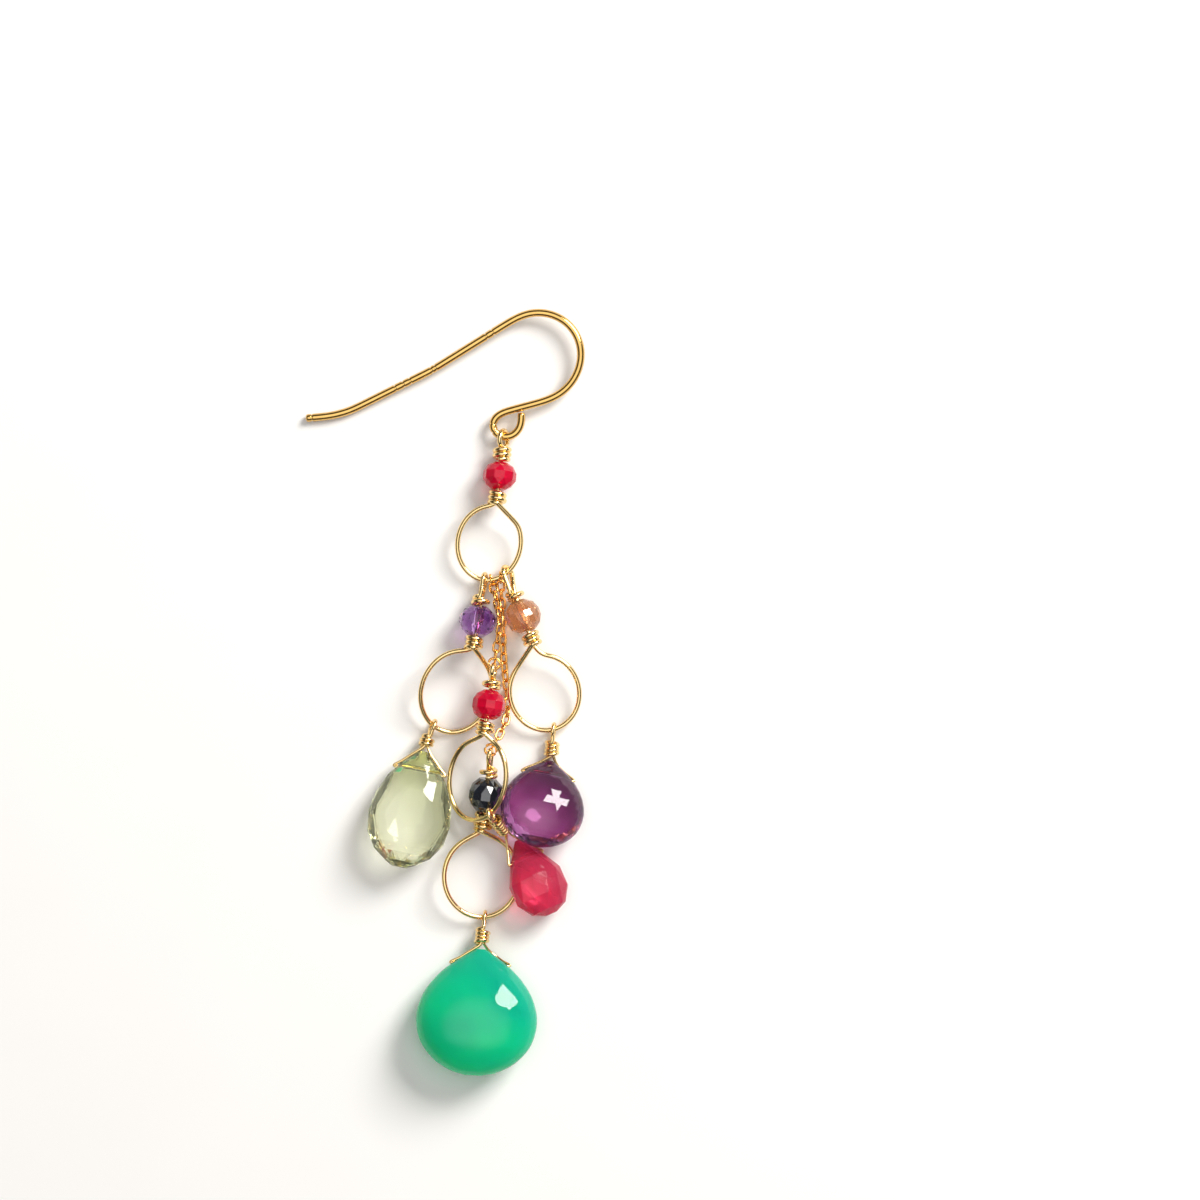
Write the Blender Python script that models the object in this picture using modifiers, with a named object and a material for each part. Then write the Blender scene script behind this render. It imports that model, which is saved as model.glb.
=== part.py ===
"""Gold wire drop earring with four gemstone strands, modelled as it lies on a table.

Metres, +Z up, the table at Z = 0. The ear hook bends over at +Y and the strands run towards -Y.
A heading is the angle in plan from -Y towards +X, in degrees.
"""

import math

import bmesh
import bpy
from mathutils import Matrix, Vector

# Wires
HOOK_WIRE = 0.78e-3
LINK_WIRE = 0.50e-3
DROP_WIRE = 0.40e-3
CHAIN_WIRE = 0.27e-3

# Clearances
GAP = 0.12e-3
LOOP_SLACK = 0.10e-3
FLOOR_GAP = 0.06e-3

# Chain links
CHAIN_PITCH = 1.20e-3
CHAIN_WIDTH = 1.00e-3
CHAIN_FUSE = 0.06e-3
CHAIN_SIDES = 12

# Beads, width across and length along the wire
TOP_BEAD_WIDTH = 3.40e-3
TOP_BEAD_LENGTH = 2.70e-3
AMETHYST_BEAD_WIDTH = 3.75e-3
AMETHYST_BEAD_LENGTH = 2.85e-3
PEACH_BEAD_WIDTH = 3.60e-3
PEACH_BEAD_LENGTH = 3.20e-3
RUBY_BEAD_WIDTH = 3.40e-3
RUBY_BEAD_LENGTH = 2.90e-3
BLUE_BEAD_WIDTH = 3.55e-3
BLUE_BEAD_LENGTH = 3.30e-3
BEAD_FACETS = 10

# Cut stones
PRASIOLITE_WIDTH = 8.4e-3
PRASIOLITE_LENGTH = 11.8e-3
PRASIOLITE_THICKNESS = 5.0e-3
PURPLE_WIDTH = 8.45e-3
PURPLE_LENGTH = 8.95e-3
PURPLE_THICKNESS = 4.3e-3
RED_WIDTH = 6.1e-3
RED_LENGTH = 8.1e-3
RED_THICKNESS = 4.0e-3
ONYX_WIDTH = 12.1e-3
ONYX_LENGTH = 12.6e-3
ONYX_THICKNESS = 6.0e-3
STONE_FACETS = 12
REST_CUT = 0.10e-3

# Hand-formed rings, width and height inside the plan of the wire's centre line
TOP_RING_WIDTH = 6.35e-3
TOP_RING_HEIGHT = 7.50e-3
LEFT_RING_WIDTH = 7.0e-3
LEFT_RING_HEIGHT = 8.4e-3
RIGHT_RING_WIDTH = 7.0e-3
RIGHT_RING_HEIGHT = 7.6e-3
MIDDLE_RING_WIDTH = 5.7e-3
MIDDLE_RING_HEIGHT = 8.4e-3
LOW_RING_WIDTH = 7.55e-3
LOW_RING_HEIGHT = 8.2e-3

# Ear hook, from its free tip to its eye: length and turn in degrees of each bend, and how far the
# strands hang to the left of the eye's lowest point
HOOK_START_HEADING = 4.4
HOOK_TIP_HEIGHT = 0.45e-3
HOOK_EYE_SIDE = 0.24e-3
HOOK_BENDS = (
    (2.50e-3, 1.0),
    (1.90e-3, 18.0),
    (9.40e-3, 6.0),
    (9.30e-3, 5.0),
    (4.35e-3, -54.5),
    (5.40e-3, -74.0),
    (6.15e-3, -72.5),
    (4.55e-3, 3.0),
    (3.10e-3, 140.0),
    (1.50e-3, 50.0),
    (1.10e-3, 42.0),
    (1.60e-3, 38.0),
)

# Routes of the two chains, as plan offsets from the ring that holds them and heights above the table
SHORT_CHAIN_ROUTE = (
    (0.0e-3, 0.0e-3, 1.00e-3),
    (0.6e-3, -2.4e-3, 2.20e-3),
    (0.9e-3, -4.2e-3, 2.95e-3),
    (0.6e-3, -6.3e-3, 2.75e-3),
    (0.3e-3, -8.4e-3, 2.10e-3),
)
LONG_CHAIN_ROUTE = (
    (0.0e-3, 0.0e-3, 1.00e-3),
    (0.1e-3, -2.3e-3, 0.58e-3),
    (0.15e-3, -4.2e-3, 0.58e-3),
    (0.25e-3, -6.9e-3, 0.58e-3),
    (0.45e-3, -9.6e-3, 0.58e-3),
    (0.75e-3, -12.2e-3, 0.58e-3),
    (0.55e-3, -14.2e-3, 1.25e-3),
    (-0.15e-3, -15.8e-3, 2.25e-3),
    (-0.95e-3, -17.2e-3, 2.55e-3),
)

# How each ring hangs from its link: plan heading, gap to the wraps, which side closes straight,
# and how far its right side lies above its middle
TOP_RING = dict(heading=-11.0, standoff=0.10e-3, hand=1, leave=14.0, close=52.0, roll=0.0)
LEFT_RING = dict(heading=-22.0, standoff=0.25e-3, hand=1, leave=16.0, close=30.0, roll=-0.85e-3)
RIGHT_RING = dict(heading=12.8, standoff=0.95e-3, hand=-1, leave=10.0, close=40.0, roll=0.0)
MIDDLE_RING = dict(heading=-8.7, standoff=0.20e-3, hand=1, leave=40.0, close=20.0, roll=1.95e-3)
LOW_RING = dict(heading=-0.7, standoff=0.35e-3, hand=1, leave=25.0, close=25.0, roll=-0.85e-3)

# Where the strands hang on the rings, as angles from each ring's top over its left side
AMETHYST_HOOK = 184.0
SHORT_CHAIN_HOOK = 197.0
LONG_CHAIN_HOOK = 213.5
PEACH_HOOK = 227.0
PRASIOLITE_HOOK = 165.0
PURPLE_HOOK = 181.0
RED_HOOK = 219.0
ONYX_HOOK = 185.0

# Plan headings of the links, how far each loop's neck reaches, and turns of wire above and below the bead
TOP_LINK = dict(heading=-6.0, neck=0.70e-3, turns_above=3, turns_below=3)
AMETHYST_LINK = dict(heading=-9.0, neck=1.55e-3, turns_above=2, turns_below=3)
PEACH_LINK = dict(heading=20.0, neck=1.85e-3, turns_above=2, turns_below=3)
RUBY_LINK = dict(heading=-8.0, neck=0.90e-3, turns_above=2, turns_below=3)
BLUE_LINK = dict(heading=-6.0, neck=1.20e-3, turns_above=2, turns_below=4)
RUBY_RISE = 6.0
BLUE_RISE = -8.0
MIDDLE_RING_LIFT = 0.45e-3
RED_LOOP_LEAN = 0.7

# Drop wires: plan heading of the wraps, neck, turns, and how far the stone hangs to the right of the wraps
# and below them
PRASIOLITE_BAIL = dict(heading=-21.0, neck=0.95e-3, turns=3, side=0.0, drop=0.0)
PURPLE_BAIL = dict(heading=-5.0, neck=1.00e-3, turns=4, side=0.0, drop=0.0)
RED_BAIL = dict(heading=40.0, neck=0.80e-3, turns=6, side=0.70e-3, drop=0.85e-3)
ONYX_BAIL = dict(heading=-6.5, neck=1.10e-3, turns=4, side=0.0, drop=0.0)

# Stones as they lie: plan heading of the axis, rise of the axis towards the round end, roll to the right
PRASIOLITE_LIE = dict(heading=-12.0, rise=8.0, roll=0.0)
PURPLE_LIE = dict(heading=-9.5, rise=18.0, roll=-7.0)
RED_LIE = dict(heading=25.0, rise=7.0, roll=-20.0)
ONYX_LIE = dict(heading=-3.6, rise=8.0, roll=0.0)

# Stone outlines from tip to round end, as shares: along the axis, of the width, of the thickness
PEAR = (
    (0.00, 0.10, 0.14),
    (0.12, 0.34, 0.40),
    (0.28, 0.64, 0.68),
    (0.46, 0.89, 0.91),
    (0.64, 1.00, 1.00),
    (0.82, 0.88, 0.86),
    (0.94, 0.58, 0.54),
    (1.00, 0.20, 0.18),
)
EGG = (
    (0.00, 0.10, 0.14),
    (0.08, 0.33, 0.36),
    (0.18, 0.61, 0.60),
    (0.34, 0.84, 0.82),
    (0.48, 0.96, 0.95),
    (0.62, 1.00, 1.00),
    (0.75, 0.92, 0.90),
    (0.85, 0.77, 0.73),
    (0.93, 0.54, 0.50),
    (1.00, 0.18, 0.16),
)
HEART = (
    (0.00, 0.08, 0.12),
    (0.12, 0.46, 0.44),
    (0.25, 0.74, 0.72),
    (0.40, 0.93, 0.93),
    (0.57, 1.00, 1.00),
    (0.75, 0.91, 0.90),
    (0.89, 0.67, 0.62),
    (0.97, 0.38, 0.34),
    (1.00, 0.14, 0.12),
)
TABLE_SHARE = 0.86
HOLE_DEPTH_PRASIOLITE = 2.0e-3
HOLE_DEPTH_PURPLE = 1.6e-3
HOLE_DEPTH_RED = 2.0e-3
HOLE_DEPTH_ONYX = 1.5e-3

# Bead outline, as shares: of the half length, of the radius, and a half-facet turn
BEAD_ROWS = (
    (-1.00, 0.46, 0.0),
    (-0.52, 0.90, 0.5),
    (0.00, 1.00, 0.0),
    (0.52, 0.90, 0.5),
    (1.00, 0.46, 0.0),
)

# Points on the wire bends
LOOP_STEPS = 14
RING_STEPS = 26
HOOK_STEP_TURN = 14.0
HOOK_EYE_POINTS = 12
COLLAR_SIDES = 10
HOLE_SIDES = 10


def heading_axis(heading, rise=0.0):
    h = math.radians(heading)
    r = math.radians(rise)
    return Vector((math.sin(h) * math.cos(r), -math.cos(h) * math.cos(r), math.sin(r)))


def side_axis(heading):
    h = math.radians(heading)
    return Vector((math.cos(h), math.sin(h), 0.0))


def lie_frame(origin, heading, rise=0.0, roll=0.0):
    """Local X along the heading, Y to its right seen from the ear, Z up from the table."""
    x = heading_axis(heading, rise)
    y = side_axis(heading)
    z = x.cross(y)
    frame = Matrix((x, y, z)).transposed().to_4x4()
    frame.translation = origin
    return frame @ Matrix.Rotation(math.radians(roll), 4, "X")


def clear_scene():
    for obj in list(bpy.data.objects):
        bpy.data.objects.remove(obj)
    for group in list(bpy.data.collections):
        bpy.data.collections.remove(group)


def new_collection(name, parent, hidden=False):
    group = bpy.data.collections.new(name)
    parent.children.link(group)
    group.hide_render = hidden
    return group


def material(name, colour, roughness, metallic=0.0, transmission=0.0):
    mat = bpy.data.materials.new(name)
    mat.use_nodes = True
    shader = mat.node_tree.nodes["Principled BSDF"]
    shader.inputs["Base Color"].default_value = (*colour, 1.0)
    shader.inputs["Roughness"].default_value = roughness
    shader.inputs["Metallic"].default_value = metallic
    shader.inputs["Transmission Weight"].default_value = transmission
    mat.diffuse_color = (*colour, 1.0)
    return mat


def gold(name):
    return material(name + "_gold", (0.78, 0.50, 0.20), 0.18, metallic=1.0)


def mesh_object(name, mesh, group, frame=None):
    obj = bpy.data.objects.new(name, mesh)
    obj.matrix_world = frame or Matrix.Identity(4)
    group.objects.link(obj)
    return obj


def as_helper(obj):
    obj.hide_render = True
    obj.display_type = "WIRE"
    return obj


def wire_mesh(name, points, diameter, sides, cyclic=False):
    """Mesh of a wire along the points, with its caps welded."""
    curve = bpy.data.curves.new(name, "CURVE")
    curve.dimensions = "3D"
    curve.bevel_depth = diameter / 2
    curve.bevel_resolution = (sides - 4) // 2
    curve.use_fill_caps = True
    spline = curve.splines.new("POLY")
    spline.points.add(len(points) - 1)
    for spot, point in zip(spline.points, points):
        spot.co = (*point, 1.0)
    spline.use_cyclic_u = cyclic
    obj = bpy.data.objects.new(name, curve)
    bpy.context.scene.collection.objects.link(obj)
    bpy.context.view_layer.update()
    graph = bpy.context.evaluated_depsgraph_get()
    mesh = bpy.data.meshes.new_from_object(obj.evaluated_get(graph))
    mesh.name = name
    bpy.data.objects.remove(obj)
    bpy.data.curves.remove(curve)
    bm = bmesh.new()
    bm.from_mesh(mesh)
    bmesh.ops.remove_doubles(bm, verts=bm.verts, dist=diameter / 1000)
    bmesh.ops.recalc_face_normals(bm, faces=bm.faces)
    bm.to_mesh(mesh)
    bm.free()
    mesh.shade_smooth()
    return mesh


def boolean(obj, other, operation):
    modifier = obj.modifiers.new(operation.title() + " " + other.name, "BOOLEAN")
    modifier.operation = operation
    modifier.solver = "EXACT"
    modifier.use_self = operation == "UNION"
    modifier.object = other


def collar(name, frame, start, turns, wire, helpers):
    """Wire wrapped in close turns round the core: a turned barrel with one rib for each turn."""
    valley = 1.28 * wire
    crest = 1.50 * wire
    outline = [(0.0, turns * wire), (valley, turns * wire)]
    for turn in reversed(range(turns)):
        outline.append((crest, (turn + 0.5) * wire))
        outline.append((valley, turn * wire))
    outline.append((0.0, 0.0))
    mesh = bpy.data.meshes.new(name)
    bm = bmesh.new()
    spots = [bm.verts.new((x, 0.0, z)) for x, z in outline]
    for a, b in zip(spots, spots[1:]):
        bm.edges.new((a, b))
    bm.to_mesh(mesh)
    bm.free()
    along = Matrix.Translation((start, 0.0, 0.0)) @ Matrix.Rotation(math.radians(90.0), 4, "Y")
    obj = mesh_object(name, mesh, helpers, frame @ along)
    screw = obj.modifiers.new("Turned", "SCREW")
    screw.steps = COLLAR_SIDES
    screw.render_steps = COLLAR_SIDES
    screw.use_merge_vertices = True
    screw.merge_threshold = wire / 1000
    return as_helper(obj)


def arc(centre, x_axis, y_axis, rx, ry, start, end, steps):
    """Points from the start angle to the end angle in degrees, measured from x_axis towards y_axis."""
    points = []
    for k in range(steps + 1):
        angle = math.radians(start + (end - start) * k / steps)
        points.append(centre + x_axis * (rx * math.cos(angle)) + y_axis * (ry * math.sin(angle)))
    return points


def loop_radius(wire, held):
    """Centre-line radius of a small loop of this wire round a held wire."""
    return wire / 2 + held / 2 + GAP + LOOP_SLACK


def loop_path(frame, radius, neck, wire, held):
    """A small wrapped loop round the frame's origin, square to the held wire's direction,
    from its free end to the start of its core."""
    x = frame.col[0].xyz
    side = held.cross(x).normalized()
    centre = frame.translation
    opening = math.degrees(math.acos(min(radius / max(neck, radius), 0.97)))
    points = [centre + x * (neck + wire * 0.6) + side * (wire * 0.9)]
    points += arc(centre, x, side, radius, radius, opening + 8.0, 352.0 - opening, LOOP_STEPS)
    points.append(centre + x * (neck + wire * 0.1))
    return points


class Ring:
    """A large hand-formed loop in a plane that slopes from its wraps to where its main load hangs."""

    def __init__(self, top, width, height, style, load_hook, load_height):
        self.style = style
        self.top = top
        self.half_width = width / 2
        self.half_height = height / 2
        self.down = heading_axis(style["heading"])
        self.side = side_axis(style["heading"])
        self.reach = 1.0 + style["standoff"] / self.half_height
        self.centre = top + self.down * (self.half_height * self.reach)
        s, t = self.shares(load_hook)
        roll = style["roll"]
        self.slope = (load_height - top.z - roll * t) / (self.reach + s)
        self.centre.z = top.z + self.slope * self.reach
        self.roll = roll

    @staticmethod
    def shares(hook):
        """Where an angle from the top over the left side lies, in half heights and half widths."""
        angle = math.radians(hook)
        return -math.cos(angle), -math.sin(angle)

    def point(self, hook):
        s, t = self.shares(hook)
        spot = self.centre + self.down * (self.half_height * s) + self.side * (self.half_width * t)
        spot.z = self.centre.z + self.slope * s + self.roll * t
        return spot

    def direction(self, hook):
        """Direction of the ring's wire at an angle."""
        return (self.point(hook - 1.0) - self.point(hook + 1.0)).normalized()

    def path(self, wire, frame, end):
        """From the core's end round the ring and back beside the wraps."""
        hand = self.style["hand"]
        start_angle = self.style["leave"]
        end_angle = 360.0 - self.style["close"]
        points = [frame @ Vector((end - wire * 0.4, 0.0, 0.0))]
        for k in range(RING_STEPS + 1):
            angle = start_angle + (end_angle - start_angle) * k / RING_STEPS
            points.append(self.point(hand * angle))
        points.append(frame @ Vector((end - wire * 0.7, hand * wire * 0.95, 0.0)))
        return points


class Link:
    """A wire with a wrapped loop, a bead on its core and wraps that start a ring."""

    def __init__(self, style, held, bead_width, bead_length, loop, bead_height=None, rise=None):
        self.style = style
        self.radius = loop_radius(LINK_WIRE, held)
        self.neck = max(style["neck"], self.radius * 0.9)
        self.bead_width = bead_width
        self.bead_length = bead_length
        self.bead_start = self.neck + style["turns_above"] * LINK_WIRE + GAP
        self.bead_middle = self.bead_start + bead_length / 2
        self.wraps_start = self.bead_start + bead_length + GAP
        self.end = self.wraps_start + style["turns_below"] * LINK_WIRE
        if rise is None:
            rise = math.degrees(math.asin((bead_height - loop.z) / self.bead_middle))
        self.rise = rise
        self.frame = lie_frame(loop, style["heading"], rise)
        self.top = self.frame @ Vector((self.end, 0.0, 0.0))

    def build(self, name, ring, held, group, helpers):
        style = self.style
        points = loop_path(self.frame, self.radius, self.neck, LINK_WIRE, held)
        points += ring.path(LINK_WIRE, self.frame, self.end)
        wire = mesh_object(name, wire_mesh(name, points, LINK_WIRE, 6), group)
        wraps = (("above", self.neck), ("below", self.wraps_start))
        for place, start in wraps:
            turns = style["turns_" + place]
            turned = collar(f"{name}_wraps_{place}", self.frame, start, turns, LINK_WIRE, helpers)
            boolean(wire, turned, "UNION")
        wire.data.materials.append(gold(name))
        return wire

    def bead(self, name, colour, group, helpers):
        frame = self.frame @ Matrix.Translation((self.bead_middle, 0.0, 0.0))
        points = []
        for along, out, turn in BEAD_ROWS:
            for k in range(BEAD_FACETS):
                angle = 2 * math.pi * (k + turn) / BEAD_FACETS
                radius = out * self.bead_width / 2
                x = along * self.bead_length / 2
                points.append((x, radius * math.cos(angle), radius * math.sin(angle)))
        bead = hull_object(name, points, group, frame)
        drill(bead, frame, "X", LINK_WIRE, self.bead_length, helpers)
        bead.data.materials.append(material(name + "_stone", colour, 0.08, transmission=0.3))
        return bead


def hull_object(name, points, group, frame, table=None, floor=False):
    """A cut stone: the flat facets that close round its corner points."""
    bm = bmesh.new()
    for point in points:
        bm.verts.new(point)
    made = bmesh.ops.convex_hull(bm, input=bm.verts)
    loose = [v for v in made["geom_interior"] if isinstance(v, bmesh.types.BMVert)]
    bmesh.ops.delete(bm, geom=loose, context="VERTS")
    if table is not None:
        cut_flat(bm, Vector((0.0, 0.0, table)), Vector((0.0, 0.0, 1.0)))
    if floor:
        inverse = frame.inverted()
        origin = inverse @ Vector((frame.translation.x, frame.translation.y, 0.0))
        cut_flat(bm, origin, inverse.to_3x3() @ Vector((0.0, 0.0, -1.0)))
    bmesh.ops.recalc_face_normals(bm, faces=bm.faces)
    mesh = bpy.data.meshes.new(name)
    bm.to_mesh(mesh)
    bm.free()
    return mesh_object(name, mesh, group, frame)


def cut_flat(bm, origin, outward):
    """Cuts away what lies beyond a plane and closes the cut with one facet."""
    geometry = bm.verts[:] + bm.edges[:] + bm.faces[:]
    cut = bmesh.ops.bisect_plane(
        bm, geom=geometry, dist=1e-7, plane_co=origin, plane_no=outward, clear_outer=True
    )
    rim = [item for item in cut["geom_cut"] if isinstance(item, bmesh.types.BMEdge)]
    bmesh.ops.contextual_create(bm, geom=rim)


def drill(obj, frame, axis, wire, length, helpers):
    """A hole for the wire with a clearance, along the frame's X or Y."""
    mesh = bpy.data.meshes.new(obj.name + "_drill")
    bm = bmesh.new()
    radius = wire / 2 + GAP
    bmesh.ops.create_cone(
        bm, cap_ends=True, segments=HOLE_SIDES, radius1=radius, radius2=radius, depth=length * 1.5
    )
    bm.to_mesh(mesh)
    bm.free()
    turn = Matrix.Rotation(math.radians(90.0), 4, "Y" if axis == "X" else "X")
    cutter = as_helper(mesh_object(obj.name + "_drill", mesh, helpers, frame @ turn))
    boolean(obj, cutter, "DIFFERENCE")


class Stone:
    """A cut drop stone that rests on the table with its drilled tip towards its wire."""

    def __init__(self, outline, width, length, thickness, lie, hole_depth):
        self.outline = outline
        self.width = width
        self.length = length
        self.thickness = thickness
        self.lie = lie
        self.hole_depth = hole_depth
        self.points = self.corners()
        turn = lie_frame(Vector(), lie["heading"], lie["rise"], lie["roll"])
        lowest = min((turn @ Vector(point)).z for point in self.points)
        self.tip_height = -lowest - REST_CUT

    def corners(self):
        widest = max(range(len(self.outline)), key=lambda row: self.outline[row][1])
        points = []
        for row, (along, wide, thick) in enumerate(self.outline):
            turn = 0.5 * ((row - widest) % 2)
            for k in range(STONE_FACETS):
                angle = 2 * math.pi * (k + turn) / STONE_FACETS
                y = wide * self.width / 2 * math.cos(angle)
                z = thick * self.thickness / 2 * math.sin(angle)
                points.append((along * self.length, y, z))
        return points

    def half_width(self, depth):
        share = depth / self.length
        for (a, wide_a, _), (b, wide_b, _) in zip(self.outline, self.outline[1:]):
            if share <= b:
                wide = wide_a + (wide_b - wide_a) * (share - a) / (b - a)
                return wide * self.width / 2
        return 0.0

    def place(self, tip):
        self.frame = lie_frame(tip, self.lie["heading"], self.lie["rise"], self.lie["roll"])

    def build(self, name, colour, group, helpers):
        table = TABLE_SHARE * self.thickness / 2
        stone = hull_object(name, self.points, group, self.frame, table=table, floor=True)
        hole = self.frame @ Matrix.Translation((self.hole_depth, 0.0, 0.0))
        drill(stone, hole, "Y", DROP_WIRE, self.width, helpers)
        stone.data.materials.append(material(name + "_stone", colour, 0.05, transmission=0.6))
        return stone


class Drop:
    """The wire that carries a stone: a loop, wraps, and a bail through the drilled tip."""

    def __init__(self, style, loop, held, stone):
        self.style = style
        self.stone = stone
        self.held = held
        self.radius = loop_radius(DROP_WIRE, LINK_WIRE)
        self.neck = max(style["neck"], self.radius * 0.9)
        self.end = self.neck + style["turns"] * DROP_WIRE
        self.tip_gap = GAP + DROP_WIRE + style["drop"]
        axis = heading_axis(stone.lie["heading"], stone.lie["rise"])
        end_height = stone.tip_height - axis.z * self.tip_gap
        rise = math.degrees(math.asin((end_height - loop.z) / self.end))
        self.frame = lie_frame(loop, style["heading"], rise)
        sideways = side_axis(stone.lie["heading"]) * style["side"]
        stone.place(self.frame @ Vector((self.end, 0.0, 0.0)) + axis * self.tip_gap + sideways)

    def bail_path(self):
        """A closed path in the stone's plane, from the wraps down one side and up the other."""
        start = -self.tip_gap - DROP_WIRE * 0.5
        depth = self.stone.hole_depth
        out = self.stone.half_width(depth) + DROP_WIRE / 2 + GAP
        head = Vector((start, -self.style["side"], 0.0))
        legs = []
        for hand in (1, -1):
            shoulder = Vector((start + 0.12 * (depth - start), hand * 0.92 * out, 0.0))
            foot = Vector((depth - DROP_WIRE * 0.5, hand * out, 0.0))
            leg = []
            for k in range(1, 6):
                t = k / 5
                leg.append(head * (1 - t) ** 2 + shoulder * (2 * t * (1 - t)) + foot * t**2)
            leg.append(Vector((depth, hand * (out - DROP_WIRE * 0.5), 0.0)))
            legs.append(leg)
        return [self.stone.frame @ p for p in [head] + legs[0] + legs[1][::-1]]

    def build(self, name, group, helpers):
        points = loop_path(self.frame, self.radius, self.neck, DROP_WIRE, self.held)
        points.append(self.frame @ Vector((self.end - DROP_WIRE * 0.7, 0.0, 0.0)))
        wire = mesh_object(name, wire_mesh(name, points, DROP_WIRE, 6), group)
        wraps = collar(name + "_wraps", self.frame, self.neck, self.style["turns"], DROP_WIRE, helpers)
        bail_mesh = wire_mesh(name + "_bail", self.bail_path(), DROP_WIRE, 6, cyclic=True)
        bail = as_helper(mesh_object(name + "_bail", bail_mesh, helpers))
        boolean(wire, wraps, "UNION")
        boolean(wire, bail, "UNION")
        wire.data.materials.append(gold(name))
        return wire


def hook_path():
    """Centre line of the ear hook with its eye's lower wire over the origin."""
    points = [Vector((0.0, 0.0, 0.0))]
    turned = HOOK_START_HEADING
    for length, turn in HOOK_BENDS:
        steps = max(1, round(abs(turn) / HOOK_STEP_TURN))
        for step in range(steps):
            middle = math.radians(turned + turn * (step + 0.5) / steps)
            move = Vector((math.cos(middle), math.sin(middle), 0.0)) * (length / steps)
            points.append(points[-1] + move)
        turned += turn
    eye = min(points[-HOOK_EYE_POINTS:], key=lambda point: point.y).copy()
    eye.x -= HOOK_EYE_SIDE
    return [point - eye for point in points]


def eye_height():
    return (loop_radius(LINK_WIRE, HOOK_WIRE) + LINK_WIRE / 2) + FLOOR_GAP


def build_hook(group):
    points = hook_path()
    slope = (HOOK_TIP_HEIGHT - eye_height()) / points[0].x
    for point in points:
        point.z = eye_height() + slope * point.x
    hook = mesh_object("ear_hook", wire_mesh("ear_hook", points, HOOK_WIRE, 8), group)
    hook.data.materials.append(gold("ear_hook"))


def smooth_route(points, steps=24):
    """A smooth curve through the route's own points."""
    padded = [points[0] * 2 - points[1]] + points + [points[-1] * 2 - points[-2]]
    curve = []
    for a, b, c, d in zip(padded, padded[1:], padded[2:], padded[3:]):
        for k in range(steps):
            t = k / steps
            slope = (c - a) * t
            bend = (2 * a - 5 * b + 4 * c - d) * t**2
            twist = (3 * b - a - 3 * c + d) * t**3
            curve.append(0.5 * (2 * b + slope + bend + twist))
    curve.append(points[-1].copy())
    return curve


def point_along(curve, distance):
    """The point at a distance along a curve, and the direction there."""
    for a, b in zip(curve, curve[1:]):
        step = (b - a).length
        if distance <= step:
            break
        distance -= step
    direction = (b - a).normalized()
    return a + direction * distance, direction


def chain_link_points(half_length, half_width):
    """A closed link with straight sides and round ends, in its own X-Y plane."""
    quarter = CHAIN_SIDES // 4
    straight = half_length - half_width
    points = []
    for centre, start in ((straight, -90.0), (-straight, 90.0)):
        for k in range(2 * quarter):
            angle = math.radians(start + 180.0 * k / (2 * quarter - 1))
            x = centre + half_width * math.cos(angle)
            points.append(Vector((x, half_width * math.sin(angle), 0.0)))
    return points


def route_between(start, table, end):
    points = [start + Vector((x, y, 0.0)) for x, y, _ in table]
    for point, (_, _, z) in zip(points, table):
        point.z = z
    points[0] = start
    points[-1] = end
    return smooth_route(points)


def build_chain(name, curve, group, helpers):
    """Interlocked links, each fused to the next where they bear on each other."""
    inner_end = LINK_WIRE / 2 + GAP + LOOP_SLACK / 2
    total = sum((b - a).length for a, b in zip(curve, curve[1:]))
    filled = total + CHAIN_FUSE + 2 * inner_end
    count = round(filled / CHAIN_PITCH)
    pitch = filled / count
    first = (pitch - CHAIN_FUSE) / 2 - inner_end
    half_length = (pitch + CHAIN_WIRE - CHAIN_FUSE) / 2
    end_half_width = LINK_WIRE / 2 + GAP + LOOP_SLACK + CHAIN_WIRE / 2
    drift = 180.0 if count % 2 == 0 else 90.0
    links = new_collection(name + "_links", helpers, hidden=True)
    chain = None
    for k in range(count):
        spot, direction = point_along(curve, first + pitch * k)
        at_end = k in (0, count - 1)
        half_width = end_half_width if at_end else (CHAIN_WIDTH - CHAIN_WIRE) / 2
        roll = 90.0 + 90.0 * k + drift * k / (count - 1)
        frame = route_frame(spot, direction, roll)
        points = [frame @ p for p in chain_link_points(half_length, half_width)]
        mesh = wire_mesh(name + f"_link_{k + 1}", points, CHAIN_WIRE, 6, cyclic=True)
        if k == 0:
            mesh.name = name
            chain = mesh_object(name, mesh, group)
        else:
            as_helper(mesh_object(name + f"_link_{k + 1}", mesh, links))
    union = chain.modifiers.new("Links", "BOOLEAN")
    union.operation = "UNION"
    union.solver = "EXACT"
    union.operand_type = "COLLECTION"
    union.collection = links
    chain.data.materials.append(gold(name))


def route_frame(spot, direction, roll):
    """Local X along the route, turned about it from lying flat."""
    y = Vector((0.0, 0.0, 1.0)).cross(direction).normalized()
    z = direction.cross(y)
    frame = Matrix((direction, y, z)).transposed().to_4x4()
    frame.translation = spot
    return frame @ Matrix.Rotation(math.radians(roll), 4, "X")


def bead_rest(width):
    """Height of a bead's axis when it lies on the table."""
    return width / 2 + FLOOR_GAP


def hung_loop(ring, hook, style):
    """Where a loop hangs on a ring's wire: its centre lies a little further along its heading."""
    return ring.point(hook) + heading_axis(style["heading"]) * LOOP_SLACK


def height_over(ring, spot, heading, width, length):
    """Axis height of a bead that lies across a ring's wire."""
    along = heading_axis(heading)
    side = side_axis(heading)
    reach = width / 2 + LINK_WIRE / 2 + GAP
    best = bead_rest(width)
    for angle in range(0, 360, 3):
        point = ring.point(angle)
        offset = point - spot
        across = offset.dot(side)
        if abs(offset.x * along.x + offset.y * along.y) < length / 2 and abs(across) < reach:
            best = max(best, point.z + math.sqrt(reach**2 - across**2))
    return best


def chain_end(start, route):
    x, y, _ = route[-1]
    return start + Vector((x, y, 0.0))


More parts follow.
